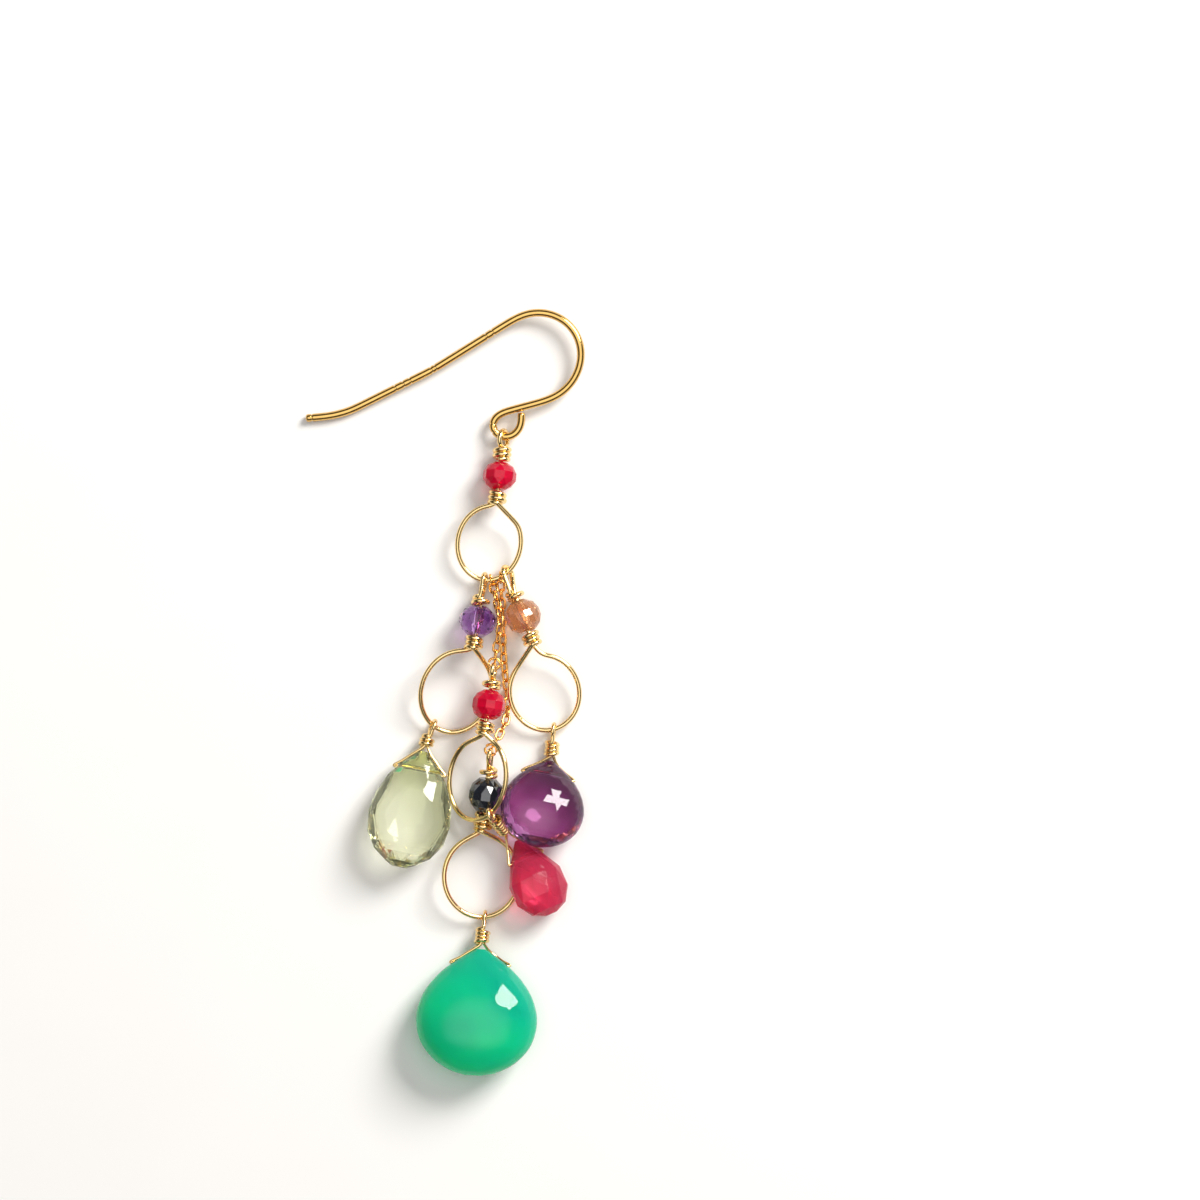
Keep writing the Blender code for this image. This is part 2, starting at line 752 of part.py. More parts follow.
def carried_link(style, start, route, width, length, rise, under=None):
    """A link whose loop hangs in the last link of a chain."""
    radius = loop_radius(LINK_WIRE, CHAIN_WIRE)
    axis = heading_axis(style["heading"], rise)
    loop = chain_end(start, route) + heading_axis(style["heading"]) * radius
    link = Link(style, CHAIN_WIRE, width, length, loop, rise=rise)
    middle = link.frame @ Vector((link.bead_middle, 0.0, 0.0))
    height = bead_rest(width)
    if under is not None:
        height = height_over(under, middle, style["heading"], width, length)
    loop.z = height - axis.z * link.bead_middle
    return Link(style, CHAIN_WIRE, width, length, loop, rise=rise)


def build_strands(group, helpers):
    eye = Vector((0.0, 0.0, eye_height()))
    eye += heading_axis(TOP_LINK["heading"]) * LOOP_SLACK
    link_load = loop_radius(LINK_WIRE, LINK_WIRE) + LINK_WIRE / 2 + FLOOR_GAP
    drop_load = loop_radius(DROP_WIRE, LINK_WIRE) + DROP_WIRE / 2 + FLOOR_GAP

    top_rest = bead_rest(TOP_BEAD_WIDTH)
    top = Link(TOP_LINK, HOOK_WIRE, TOP_BEAD_WIDTH, TOP_BEAD_LENGTH, eye, top_rest)
    top_ring = Ring(top.top, TOP_RING_WIDTH, TOP_RING_HEIGHT, TOP_RING, AMETHYST_HOOK, link_load)
    top.build("top_link_wire", top_ring, Vector((1.0, 0.0, 0.0)), group, helpers)
    top.bead("top_bead", (0.60, 0.02, 0.08), group, helpers)

    left_loop = hung_loop(top_ring, AMETHYST_HOOK, AMETHYST_LINK)
    left_rest = bead_rest(AMETHYST_BEAD_WIDTH)
    left = Link(
        AMETHYST_LINK, LINK_WIRE, AMETHYST_BEAD_WIDTH, AMETHYST_BEAD_LENGTH, left_loop, left_rest
    )
    left_ring = Ring(left.top, LEFT_RING_WIDTH, LEFT_RING_HEIGHT, LEFT_RING, PRASIOLITE_HOOK, drop_load)
    left.build("amethyst_link_wire", left_ring, top_ring.direction(AMETHYST_HOOK), group, helpers)
    left.bead("amethyst_bead", (0.16, 0.04, 0.30), group, helpers)

    right_loop = hung_loop(top_ring, PEACH_HOOK, PEACH_LINK)
    right_rest = bead_rest(PEACH_BEAD_WIDTH)
    right = Link(PEACH_LINK, LINK_WIRE, PEACH_BEAD_WIDTH, PEACH_BEAD_LENGTH, right_loop, right_rest)
    right_ring = Ring(right.top, RIGHT_RING_WIDTH, RIGHT_RING_HEIGHT, RIGHT_RING, PURPLE_HOOK, drop_load)
    right.build("peach_link_wire", right_ring, top_ring.direction(PEACH_HOOK), group, helpers)
    right.bead("peach_bead", (0.80, 0.26, 0.13), group, helpers)

    long_start = top_ring.point(LONG_CHAIN_HOOK)
    low = carried_link(
        BLUE_LINK, long_start, LONG_CHAIN_ROUTE, BLUE_BEAD_WIDTH, BLUE_BEAD_LENGTH, BLUE_RISE
    )
    low_ring = Ring(low.top, LOW_RING_WIDTH, LOW_RING_HEIGHT, LOW_RING, ONYX_HOOK, drop_load)
    low.build("blue_link_wire", low_ring, side_axis(BLUE_LINK["heading"]), group, helpers)
    low.bead("blue_bead", (0.02, 0.03, 0.07), group, helpers)
    long_end = low.frame @ Vector((-low.radius, 0.0, 0.0))
    long_curve = route_between(long_start, LONG_CHAIN_ROUTE, long_end)
    build_chain("long_chain", long_curve, group, helpers)

    short_start = top_ring.point(SHORT_CHAIN_HOOK)
    middle = carried_link(
        RUBY_LINK, short_start, SHORT_CHAIN_ROUTE, RUBY_BEAD_WIDTH, RUBY_BEAD_LENGTH, RUBY_RISE, left_ring
    )
    over_wraps = low.frame @ Vector((low.wraps_start, 0.0, 0.0))
    red_reach = loop_radius(DROP_WIRE, LINK_WIRE) * RED_LOOP_LEAN + DROP_WIRE / 2
    red_load = over_wraps.z + 1.5 * LINK_WIRE + GAP + red_reach + MIDDLE_RING_LIFT
    middle_ring = Ring(middle.top, MIDDLE_RING_WIDTH, MIDDLE_RING_HEIGHT, MIDDLE_RING, RED_HOOK, red_load)
    middle.build("ruby_link_wire", middle_ring, side_axis(RUBY_LINK["heading"]), group, helpers)
    middle.bead("ruby_bead", (0.60, 0.02, 0.08), group, helpers)
    short_end = middle.frame @ Vector((-middle.radius, 0.0, 0.0))
    short_curve = route_between(short_start, SHORT_CHAIN_ROUTE, short_end)
    build_chain("short_chain", short_curve, group, helpers)

    build_drops(left_ring, right_ring, middle_ring, low_ring, group, helpers)


def build_drops(left_ring, right_ring, middle_ring, low_ring, group, helpers):
    stones = (
        ("prasiolite", "prasiolite_wire", left_ring, PRASIOLITE_HOOK, PRASIOLITE_BAIL, (0.55, 0.60, 0.38),
         Stone(EGG, PRASIOLITE_WIDTH, PRASIOLITE_LENGTH, PRASIOLITE_THICKNESS, PRASIOLITE_LIE,
               HOLE_DEPTH_PRASIOLITE)),
        ("purple", "purple_drop_wire", right_ring, PURPLE_HOOK, PURPLE_BAIL, (0.20, 0.04, 0.22),
         Stone(HEART, PURPLE_WIDTH, PURPLE_LENGTH, PURPLE_THICKNESS, PURPLE_LIE, HOLE_DEPTH_PURPLE)),
        ("red", "red_drop_wire", middle_ring, RED_HOOK, RED_BAIL, (0.60, 0.03, 0.10),
         Stone(PEAR, RED_WIDTH, RED_LENGTH, RED_THICKNESS, RED_LIE, HOLE_DEPTH_RED)),
        ("onyx", "onyx_drop_wire", low_ring, ONYX_HOOK, ONYX_BAIL, (0.03, 0.45, 0.24),
         Stone(HEART, ONYX_WIDTH, ONYX_LENGTH, ONYX_THICKNESS, ONYX_LIE, HOLE_DEPTH_ONYX)),
    )
    for stone_name, wire_name, ring, hook, style, colour, stone in stones:
        drop = Drop(style, hung_loop(ring, hook, style), ring.direction(hook), stone)
        drop.build(wire_name, group, helpers)
        stone.build(stone_name + "_drop", colour, group, helpers)


def centre_on_table(group):
    """Brings the middle of the earring's plan over the origin. The table is at Z = 0 already."""
    bpy.context.view_layer.update()
    graph = bpy.context.evaluated_depsgraph_get()
    spots = []
    for obj in group.objects:
        solid = obj.evaluated_get(graph)
        spots += [obj.matrix_world @ vertex.co for vertex in solid.to_mesh().vertices]
        solid.to_mesh_clear()
    root = bpy.data.objects.new("lying_earring", None)
    group.objects.link(root)
    for obj in bpy.data.objects:
        if obj is not root:
            obj.parent = root
    middle_x = (min(spot.x for spot in spots) + max(spot.x for spot in spots)) / 2
    middle_y = (min(spot.y for spot in spots) + max(spot.y for spot in spots)) / 2
    root.location = (-middle_x, -middle_y, 0.0)


def main():
    clear_scene()
    group = new_collection("drop_earring", bpy.context.scene.collection)
    helpers = new_collection("cutters_and_joins", bpy.context.scene.collection, hidden=True)
    build_hook(group)
    build_strands(group, helpers)
    centre_on_table(group)


if __name__ == "__main__":
    main()
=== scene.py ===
"""Looks of a gold wire drop earring with beads and briolette drops, lying on a pale table.

Metres, +Z up, the table at Z = 0. The ear hook lies at +Y and the strands run towards -Y.
A heading is the angle in plan from -Y towards +X, in degrees.
"""

import math

import bmesh
import bpy
from mathutils import Matrix, Vector


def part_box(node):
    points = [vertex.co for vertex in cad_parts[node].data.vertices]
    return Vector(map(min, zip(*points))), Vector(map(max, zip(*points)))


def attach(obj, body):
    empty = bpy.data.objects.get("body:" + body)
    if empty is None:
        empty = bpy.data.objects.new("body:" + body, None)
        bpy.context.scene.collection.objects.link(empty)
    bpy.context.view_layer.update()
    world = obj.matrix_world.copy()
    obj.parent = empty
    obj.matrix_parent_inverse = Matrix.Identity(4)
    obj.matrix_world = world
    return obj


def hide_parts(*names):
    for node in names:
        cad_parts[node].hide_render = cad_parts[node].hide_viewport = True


bl_info = {
    "name": "Drop Earring Looks",
    "version": (1, 0, 0),
    "blender": (4, 5, 0),
    "location": "View3D > Sidebar > Earring",
    "description": "Models the wires, chains, beads and stones of a lying drop earring",
    "category": "Object",
}

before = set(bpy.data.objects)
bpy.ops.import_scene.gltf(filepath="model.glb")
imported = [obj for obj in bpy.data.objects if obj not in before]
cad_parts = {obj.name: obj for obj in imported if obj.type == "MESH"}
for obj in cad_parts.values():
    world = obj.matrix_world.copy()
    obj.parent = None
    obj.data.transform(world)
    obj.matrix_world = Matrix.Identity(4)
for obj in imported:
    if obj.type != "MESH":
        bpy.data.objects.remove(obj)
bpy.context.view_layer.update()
ROOT = "root"

# Ear hook, from its free tip to its eye: length and turn in degrees of each bend, and how far the
# strands hang to the left of the eye's lowest point
HOOK_START_HEADING = 4.4
HOOK_TIP_HEIGHT = 0.45e-3
HOOK_EYE_SIDE = 0.24e-3
HOOK_BENDS = (
    (2.50e-3, 1.0),
    (1.90e-3, 18.0),
    (9.40e-3, 6.0),
    (9.30e-3, 5.0),
    (4.35e-3, -54.5),
    (5.40e-3, -74.0),
    (6.15e-3, -72.5),
    (4.55e-3, 3.0),
    (3.10e-3, 140.0),
    (1.50e-3, 50.0),
    (1.10e-3, 42.0),
    (1.60e-3, 38.0),
)
HOOK_STEP_TURN = 14.0
HOOK_EYE_POINTS = 12

# Smoothing of the hook, and where the pliers nicked it, as distances from its free tip
HOOK_SPACING = 0.30e-3
HOOK_EASE = 12
HOOK_CURVE_STEPS = 2
HOOK_ROUNDNESS = 7
HOOK_NICKS = (
    0.6e-3, 9.6e-3, 10.5e-3, 11.3e-3, 13.6e-3, 14.1e-3, 20.1e-3, 20.9e-3, 45.2e-3, 46.0e-3,
)
NICK_WIDTH = 0.74
NICK_REACH = 0.12e-3

# Routes of the two chains: plan offsets from the ring that holds them, and heights above the table
SHORT_CHAIN_ROUTE = (
    (0.0e-3, 0.0e-3, 1.00e-3),
    (0.6e-3, -2.4e-3, 2.20e-3),
    (0.9e-3, -4.2e-3, 2.95e-3),
    (0.6e-3, -6.3e-3, 2.75e-3),
    (0.3e-3, -8.4e-3, 2.10e-3),
)
LONG_CHAIN_ROUTE = (
    (0.0e-3, 0.0e-3, 1.00e-3),
    (0.1e-3, -2.3e-3, 0.58e-3),
    (0.15e-3, -4.2e-3, 0.58e-3),
    (0.25e-3, -6.9e-3, 0.58e-3),
    (0.45e-3, -9.6e-3, 0.58e-3),
    (0.75e-3, -12.2e-3, 0.58e-3),
    (0.55e-3, -14.2e-3, 1.25e-3),
    (-0.15e-3, -15.8e-3, 2.25e-3),
    (-0.95e-3, -17.2e-3, 2.55e-3),
)

# How each ring hangs from its link: plan heading, gap to the wraps, which side closes straight,
# and how far its right side lies above its middle
TOP_RING = dict(heading=-11.0, standoff=0.10e-3, hand=1, leave=14.0, close=52.0, roll=0.0)
LEFT_RING = dict(heading=-22.0, standoff=0.25e-3, hand=1, leave=16.0, close=30.0, roll=-0.85e-3)
RIGHT_RING = dict(heading=12.8, standoff=0.95e-3, hand=-1, leave=10.0, close=40.0, roll=0.0)
MIDDLE_RING = dict(heading=-8.7, standoff=0.20e-3, hand=1, leave=40.0, close=20.0, roll=1.95e-3)
LOW_RING = dict(heading=-0.7, standoff=0.35e-3, hand=1, leave=25.0, close=25.0, roll=-0.85e-3)

# Where the strands hang on the rings, as angles from each ring's top over its left side
AMETHYST_HOOK = 184.0
SHORT_CHAIN_HOOK = 197.0
LONG_CHAIN_HOOK = 213.5
PEACH_HOOK = 227.0
PRASIOLITE_HOOK = 165.0
PURPLE_HOOK = 181.0
RED_HOOK = 219.0
ONYX_HOOK = 185.0

# Plan headings of the links, how far each loop's neck reaches, turns above and below the bead,
# and how far each loop is turned open
TOP_LINK = dict(heading=-6.0, neck=0.70e-3, turns_above=3, turns_below=3, tilt=26.0)
AMETHYST_LINK = dict(heading=-9.0, neck=1.55e-3, turns_above=2, turns_below=3, tilt=10.0)
PEACH_LINK = dict(heading=20.0, neck=1.85e-3, turns_above=2, turns_below=3, tilt=20.0)
RUBY_LINK = dict(heading=-8.0, neck=0.90e-3, turns_above=2, turns_below=3, tilt=12.0)
BLUE_LINK = dict(heading=-6.0, neck=1.20e-3, turns_above=2, turns_below=4, tilt=12.0)
RUBY_RISE = 6.0
BLUE_RISE = -8.0
MIDDLE_RING_LIFT = 0.45e-3
RED_LOOP_LEAN = 0.7

# Drop wires: plan heading of the wraps, neck, turns, how far the stone hangs to the right and
# below, and how far the right leg passes under the tip; and how far each loop is turned open
PRASIOLITE_BAIL = dict(heading=-21.0, neck=0.95e-3, turns=3, side=0.0, drop=0.0, under=0.0)
PURPLE_BAIL = dict(heading=-5.0, neck=1.00e-3, turns=4, side=0.0, drop=0.0, under=0.5e-3)
RED_BAIL = dict(heading=40.0, neck=0.80e-3, turns=6, side=0.70e-3, drop=0.85e-3, under=0.5e-3)
ONYX_BAIL = dict(heading=-6.5, neck=1.10e-3, turns=4, side=0.0, drop=0.0, under=0.7e-3)
BAIL_TILT = 8.0

# Legs of a drop wire: their width in wires, where they are led, and in leg widths how they hug the
# stone, turn round the hole's mouth and enter it
LEG_WIDTH = 0.74
LEG_SHARES = (0.25, 0.5, 0.75)
LEG_HUG = 0.6
MOUTH_TURN = 0.45
MOUTH_DEPTH = 0.4

# Stones as they lie: plan heading of the axis, rise of the axis to the round end, roll to the right
PRASIOLITE_LIE = dict(heading=-12.0, rise=8.0, roll=0.0)
PURPLE_LIE = dict(heading=-9.5, rise=18.0, roll=-7.0)
RED_LIE = dict(heading=25.0, rise=7.0, roll=-20.0)
ONYX_LIE = dict(heading=-3.6, rise=8.0, roll=0.0)

# Stone outlines from tip to round end, as shares: along the axis, of the width, of the thickness
PEAR = (
    (0.00, 0.10, 0.14),
    (0.12, 0.34, 0.40),
    (0.28, 0.64, 0.68),
    (0.46, 0.89, 0.91),
    (0.64, 1.00, 1.00),
    (0.82, 0.88, 0.86),
    (0.94, 0.58, 0.54),
    (1.00, 0.20, 0.18),
)
EGG = (
    (0.00, 0.10, 0.14),
    (0.08, 0.33, 0.36),
    (0.18, 0.61, 0.60),
    (0.34, 0.84, 0.82),
    (0.48, 0.96, 0.95),
    (0.62, 1.00, 1.00),
    (0.75, 0.92, 0.90),
    (0.85, 0.77, 0.73),
    (0.93, 0.54, 0.50),
    (1.00, 0.18, 0.16),
)
HEART = (
    (0.00, 0.08, 0.12),
    (0.12, 0.46, 0.44),
    (0.25, 0.74, 0.72),
    (0.40, 0.93, 0.93),
    (0.57, 1.00, 1.00),
    (0.75, 0.91, 0.90),
    (0.89, 0.67, 0.62),
    (0.97, 0.38, 0.34),
    (1.00, 0.14, 0.12),
)
CAD_STONE_FACETS = 12
REST_CUT = 0.10e-3

# Wraps: their radius and the step of a turn in wire widths, and how unevenly they are wound
WRAP_RADIUS = 1.40
WRAP_STEP = 0.98
WRAP_START = 0.3
WRAP_SLACK = 0.05
WRAP_WAVER = 2.3
WRAP_SHIFT = 40.0

# A filed wire end: shares of the diameter from the tip, and the width there
FILED_END = ((0.0, 0.40), (0.04, 0.70), (0.13, 0.92), (0.28, 1.0))
FILED_REACH = 0.45

# A small loop's opening towards its neck, in degrees beyond its tangent, the nearest that the
# tangent comes to the axis, as a cosine, and the least neck in loop radii
LOOP_OPENING = 8.0
NEAREST_TANGENT = 0.97
LEAST_NECK = 0.9

# Where the core below a bead starts and ends before the ring, in wire widths above the wraps' end
CORE_END = (1.2, 0.2)

# Where a drop wire's core ends above its wraps' end, in wire widths, and where its tail ends above
# it and beside the axis
BAIL_CORE_END = 0.4
BAIL_TAIL = (0.6, 0.3)

# Half the width over a link's wraps, in wire widths
WRAP_OUTSIDE = 1.5

# Width of a hole over its wire, as a share of the gap, and its length in stone or bead sizes
HOLE_PLAY = 0.5
HOLE_REACH = 1.5

# How finely the pieces are drawn
CURVE_STEPS = 4
WRAP_STEPS = 12
RING_SPACING = 0.16e-3
RING_EASE = 16
LOOP_STEPS = 10
RING_STEPS = 28
ROUTE_STEPS = 24
OUTLINE_STEPS = 8
HEIGHT_STEP = 3
WIRE_ROUNDNESS = 4
CHAIN_ROUNDNESS = 3
CHAIN_LINK_STEPS = 12
HOLE_SIDES = 20


def measure(name, description, value):
    return bpy.props.FloatProperty(name=name, description=description, default=value, unit="LENGTH")


def measures(name, description, values):
    return bpy.props.FloatVectorProperty(
        name=name, description=description, size=len(values), default=values, unit="LENGTH"
    )


def colour(name, description, value):
    return bpy.props.FloatVectorProperty(
        name=name, description=description, size=3, default=value, subtype="COLOR", min=0.0, max=1.0
    )


class WireSizes(bpy.types.PropertyGroup):
    hook_wire: measure("Hook wire", "Diameter of the ear hook's wire", 0.78e-3)
    link_wire: measure("Link wire", "Diameter of the links' and rings' wire", 0.50e-3)
    drop_wire: measure("Drop wire", "Diameter of the wire through the drops", 0.40e-3)
    chain_wire: measure("Chain wire", "Diameter of the chain's wire", 0.26e-3)
    gap: measure("Gap", "Clearance where pieces pass each other", 0.12e-3)
    loop_slack: measure("Loop slack", "Play of a small loop on its wire", 0.10e-3)
    floor_gap: measure("Floor gap", "Clearance over the table", 0.06e-3)
    chain_pitch: measure("Chain pitch", "Length that one link adds to a chain", 0.92e-3)
    chain_width: measure("Chain width", "Width of a chain link", 0.92e-3)
    chain_bearing: measure("Chain bearing", "How far links press into each other", 0.06e-3)


class RingSizes(bpy.types.PropertyGroup):
    top: measures("Top ring", "Width and height", (6.35e-3, 7.50e-3))
    left: measures("Left ring", "Width and height", (7.0e-3, 8.4e-3))
    right: measures("Right ring", "Width and height", (7.0e-3, 7.6e-3))
    middle: measures("Middle ring", "Width and height", (5.7e-3, 8.4e-3))
    low: measures("Low ring", "Width and height", (7.55e-3, 8.2e-3))


class BeadSizes(bpy.types.PropertyGroup):
    top: measures("Top bead", "Width and length", (3.40e-3, 2.70e-3))
    amethyst: measures("Amethyst bead", "Width and length", (3.75e-3, 2.85e-3))
    peach: measures("Peach bead", "Width and length", (3.60e-3, 3.20e-3))
    ruby: measures("Ruby bead", "Width and length", (3.40e-3, 2.90e-3))
    blue: measures("Blue bead", "Width and length", (3.55e-3, 3.30e-3))


class StoneSizes(bpy.types.PropertyGroup):
    prasiolite: measures("Prasiolite", "Width, length and thickness", (8.4e-3, 11.8e-3, 5.0e-3))
    purple: measures("Purple stone", "Width, length and thickness", (8.45e-3, 8.95e-3, 4.3e-3))
    red: measures("Red stone", "Width, length and thickness", (6.1e-3, 8.1e-3, 4.0e-3))
    onyx: measures("Green onyx", "Width, length and thickness", (12.1e-3, 12.6e-3, 6.0e-3))
    prasiolite_hole: measure("Prasiolite hole", "Depth of the hole below the tip", 2.0e-3)
    purple_hole: measure("Purple hole", "Depth of the hole below the tip", 1.6e-3)
    red_hole: measure("Red hole", "Depth of the hole below the tip", 2.0e-3)
    onyx_hole: measure("Onyx hole", "Depth of the hole below the tip", 1.5e-3)
    edge: measure("Facet edge", "Width of the polished facet edges", 0.03e-3)


class Colours(bpy.types.PropertyGroup):
    hook_gold: colour("Hook gold", "Darker wire of the ear hook", (0.82, 0.51, 0.16))
    gold: colour("Gold", "Polished wire of links and rings", (1.0, 0.73, 0.34))
    chain_gold: colour("Chain gold", "Warmer wire of the chains", (1.0, 0.53, 0.15))
    ruby: colour("Ruby", "Raspberry beads", (0.95, 0.004, 0.055))
    amethyst: colour("Amethyst", "Violet bead", (0.84, 0.50, 1.0))
    peach: colour("Peach", "Salmon bead", (1.0, 0.52, 0.25))
    slate: colour("Slate", "Blue-grey bead", (0.018, 0.024, 0.040))
    prasiolite: colour("Prasiolite", "Pale yellow-green drop", (0.99, 1.0, 0.87))
    purple: colour("Purple", "Purple drop", (0.64, 0.25, 0.54))
    red: colour("Red", "Raspberry red drop", (0.97, 0.08, 0.19))
    onyx: colour("Onyx", "Milky green drop", (0.006, 0.51, 0.33))
    table: colour("Table", "Pale table", (0.965, 0.95, 0.93))


def heading_axis(heading, rise=0.0):
    h = math.radians(heading)
    r = math.radians(rise)
    return Vector((math.sin(h) * math.cos(r), -math.cos(h) * math.cos(r), math.sin(r)))


def side_axis(heading):
    h = math.radians(heading)
    return Vector((math.cos(h), math.sin(h), 0.0))


def lie_frame(origin, heading, rise=0.0, roll=0.0):
    """Local X along the heading, Y to its right seen from the ear, Z up from the table."""
    x = heading_axis(heading, rise)
    y = side_axis(heading)
    z = x.cross(y)
    placed = Matrix((x, y, z)).transposed().to_4x4()
    placed.translation = origin
    return placed @ Matrix.Rotation(math.radians(roll), 4, "X")


def smooth_route(points, steps, cyclic=False):
    """A smooth curve through the route's own points."""
    if cyclic:
        padded = [points[-1]] + points + [points[0], points[1]]
    else:
        padded = [points[0] * 2 - points[1]] + points + [points[-1] * 2 - points[-2]]
    curve = []
    for a, b, c, d in zip(padded, padded[1:], padded[2:], padded[3:]):
        for k in range(steps):
            t = k / steps
            slope = (c - a) * t
            bend = (2 * a - 5 * b + 4 * c - d) * t**2
            twist = (3 * b - a - 3 * c + d) * t**3
            curve.append(0.5 * (2 * b + slope + bend + twist))
    if not cyclic:
        curve.append(points[-1].copy())
    return curve


def even_route(points, spacing):
    """The same route, stepped evenly."""
    total = sum((b - a).length for a, b in zip(points, points[1:]))
    count = max(2, round(total / spacing))
    step = total / count
    route = [points[0].copy()]
    wanted = step
    passed = 0.0
    for a, b in zip(points, points[1:]):
        length = (b - a).length
        while wanted <= passed + length + 1e-9 and len(route) < count:
            route.append(a.lerp(b, (wanted - passed) / length))
            wanted += step
        passed += length
    route.append(points[-1].copy())
    return route


def relaxed(points, rounds):
    """Eases the corners of an evenly stepped route, as wire springs back between bends."""
    route = [point.copy() for point in points]
    for _ in range(rounds):
        eased = [b.lerp((a + c) / 2, 0.5) for a, b, c in zip(route, route[1:], route[2:])]
        route = [route[0]] + eased + [route[-1]]
    return route


def with_width(points, width=1.0):
    return [Vector((*point, width)) for point in points]


def on_axis(placed, distance):
    return placed @ Vector((distance, 0.0, 0.0))


def moved(matrix, points):
    """Points that carry a width, moved without it."""
    return [Vector((*(matrix @ point.xyz), point.w)) for point in points]


def on_table(points, diameter):
    """Lifts the points of a wire that would dip into the table."""
    return [Vector((*point.xy, max(point.z, diameter / 2), point.w)) for point in points]


def loop_radius(wires, wire, held):
    return wire / 2 + held / 2 + wires.gap + wires.loop_slack


class Ring:
    """A large hand-formed loop in a plane that slopes from its wraps to where its load hangs."""

    def __init__(self, top, size, style, load_hook, load_height):
        self.style = style
        self.half_width = size[0] / 2
        self.half_height = size[1] / 2
        self.down = heading_axis(style["heading"])
        self.side = side_axis(style["heading"])
        reach = 1.0 + style["standoff"] / self.half_height
        self.centre = top + self.down * (self.half_height * reach)
        s, t = self.shares(load_hook)
        self.roll = style["roll"]
        self.slope = (load_height - top.z - self.roll * t) / (reach + s)
        self.centre.z = top.z + self.slope * reach

    @staticmethod
    def shares(hook):
        """Where an angle from the top over the left side lies, in half heights and half widths."""
        angle = math.radians(hook)
        return -math.cos(angle), -math.sin(angle)

    def point(self, hook):
        s, t = self.shares(hook)
        spot = self.centre + self.down * (self.half_height * s) + self.side * (self.half_width * t)
        spot.z = self.centre.z + self.slope * s + self.roll * t
        return spot

    def direction(self, hook):
        return (self.point(hook - 1.0) - self.point(hook + 1.0)).normalized()


class Link:
    """Where a bead's wire lies: its loop, its bead and the wraps that start a ring."""

    def __init__(self, wires, style, held, bead, loop, height=None, rise=None):
        self.style = style
        self.wire = wires.link_wire
        self.bead_size = bead
        self.radius = loop_radius(wires, wires.link_wire, held)
        self.neck = max(style["neck"], self.radius * LEAST_NECK)
        bead_start = self.neck + style["turns_above"] * self.wire + wires.gap
        self.bead_middle = bead_start + bead[1] / 2
        self.wraps_start = bead_start + bead[1] + wires.gap
        self.end = self.wraps_start + style["turns_below"] * self.wire
        if rise is None:
            rise = math.degrees(math.asin((height - loop.z) / self.bead_middle))
        self.frame = lie_frame(loop, style["heading"], rise)
        self.top = on_axis(self.frame, self.end)


class Stone:
    """Where a drop stone lies on the table, with its drilled tip towards its wire."""

    def __init__(self, outline, size, lie, hole_depth):
        self.outline = outline
        self.width, self.length, self.thickness = size
        self.lie = lie
        self.hole_depth = hole_depth
        turn = lie_frame(Vector(), lie["heading"], lie["rise"], lie["roll"])
        lowest = min((turn @ corner).z for corner in self.cad_corners())
        self.tip_height = -lowest - REST_CUT

    def cad_corners(self):
        widest = max(range(len(self.outline)), key=lambda row: self.outline[row][1])
        for row, (along, wide, thick) in enumerate(self.outline):
            for k in range(CAD_STONE_FACETS):
                angle = 2 * math.pi * (k + 0.5 * ((row - widest) % 2)) / CAD_STONE_FACETS
                y = wide * self.width / 2 * math.cos(angle)
                z = thick * self.thickness / 2 * math.sin(angle)
                yield Vector((along * self.length, y, z))

    def place(self, tip):
        self.frame = lie_frame(tip, self.lie["heading"], self.lie["rise"], self.lie["roll"])

    def half_width(self, depth):
        share = min(max(depth / self.length, 0.0), 1.0)
        for (a, wide_a, _), (b, wide_b, _) in zip(self.outline, self.outline[1:]):
            if share <= b:
                wide = wide_a + (wide_b - wide_a) * (share - a) / (b - a)
                return wide * self.width / 2
        return 0.0


class Drop:
    """Where the wire that carries a stone lies, from its loop to the drilled tip."""

    def __init__(self, wires, style, ring, hook, stone):
        self.style = style
        self.stone = stone
        self.wire = wires.drop_wire
        self.held = ring.direction(hook)
        self.radius = loop_radius(wires, wires.drop_wire, wires.link_wire)
        self.neck = max(style["neck"], self.radius * LEAST_NECK)
        self.end = self.neck + style["turns"] * self.wire
        self.tip_gap = wires.gap + self.wire + style["drop"]
        loop = hung_loop(wires, ring, hook, style)
        axis = heading_axis(stone.lie["heading"], stone.lie["rise"])
        end_height = stone.tip_height - axis.z * self.tip_gap
        rise = math.degrees(math.asin((end_height - loop.z) / self.end))
        self.frame = lie_frame(loop, style["heading"], rise)
        sideways = side_axis(stone.lie["heading"]) * style["side"]
        stone.place(on_axis(self.frame, self.end) + axis * self.tip_gap + sideways)


def hung_loop(wires, ring, hook, style):
    """Where a loop hangs on a ring's wire: its centre lies a little further along its heading."""
    return ring.point(hook) + heading_axis(style["heading"]) * wires.loop_slack


def bead_rest(wires, width):
    return width / 2 + wires.floor_gap


def hung_link(wires, ring, hook, style, bead):
    """A link whose loop hangs on a ring and whose bead rests on the table."""
    loop = hung_loop(wires, ring, hook, style)
    return Link(wires, style, wires.link_wire, bead, loop, bead_rest(wires, bead[0]))


def height_over(wires, ring, spot, heading, bead):
    """Axis height of a bead that lies across a ring's wire."""
    along = heading_axis(heading)
    side = side_axis(heading)
    reach = bead[0] / 2 + wires.link_wire / 2 + wires.gap
    best = bead_rest(wires, bead[0])
    for angle in range(0, 360, HEIGHT_STEP):
        point = ring.point(angle)
        offset = point - spot
        across = offset.dot(side)
        if abs(offset.x * along.x + offset.y * along.y) < bead[1] / 2 and abs(across) < reach:
            best = max(best, point.z + math.sqrt(reach**2 - across**2))
    return best


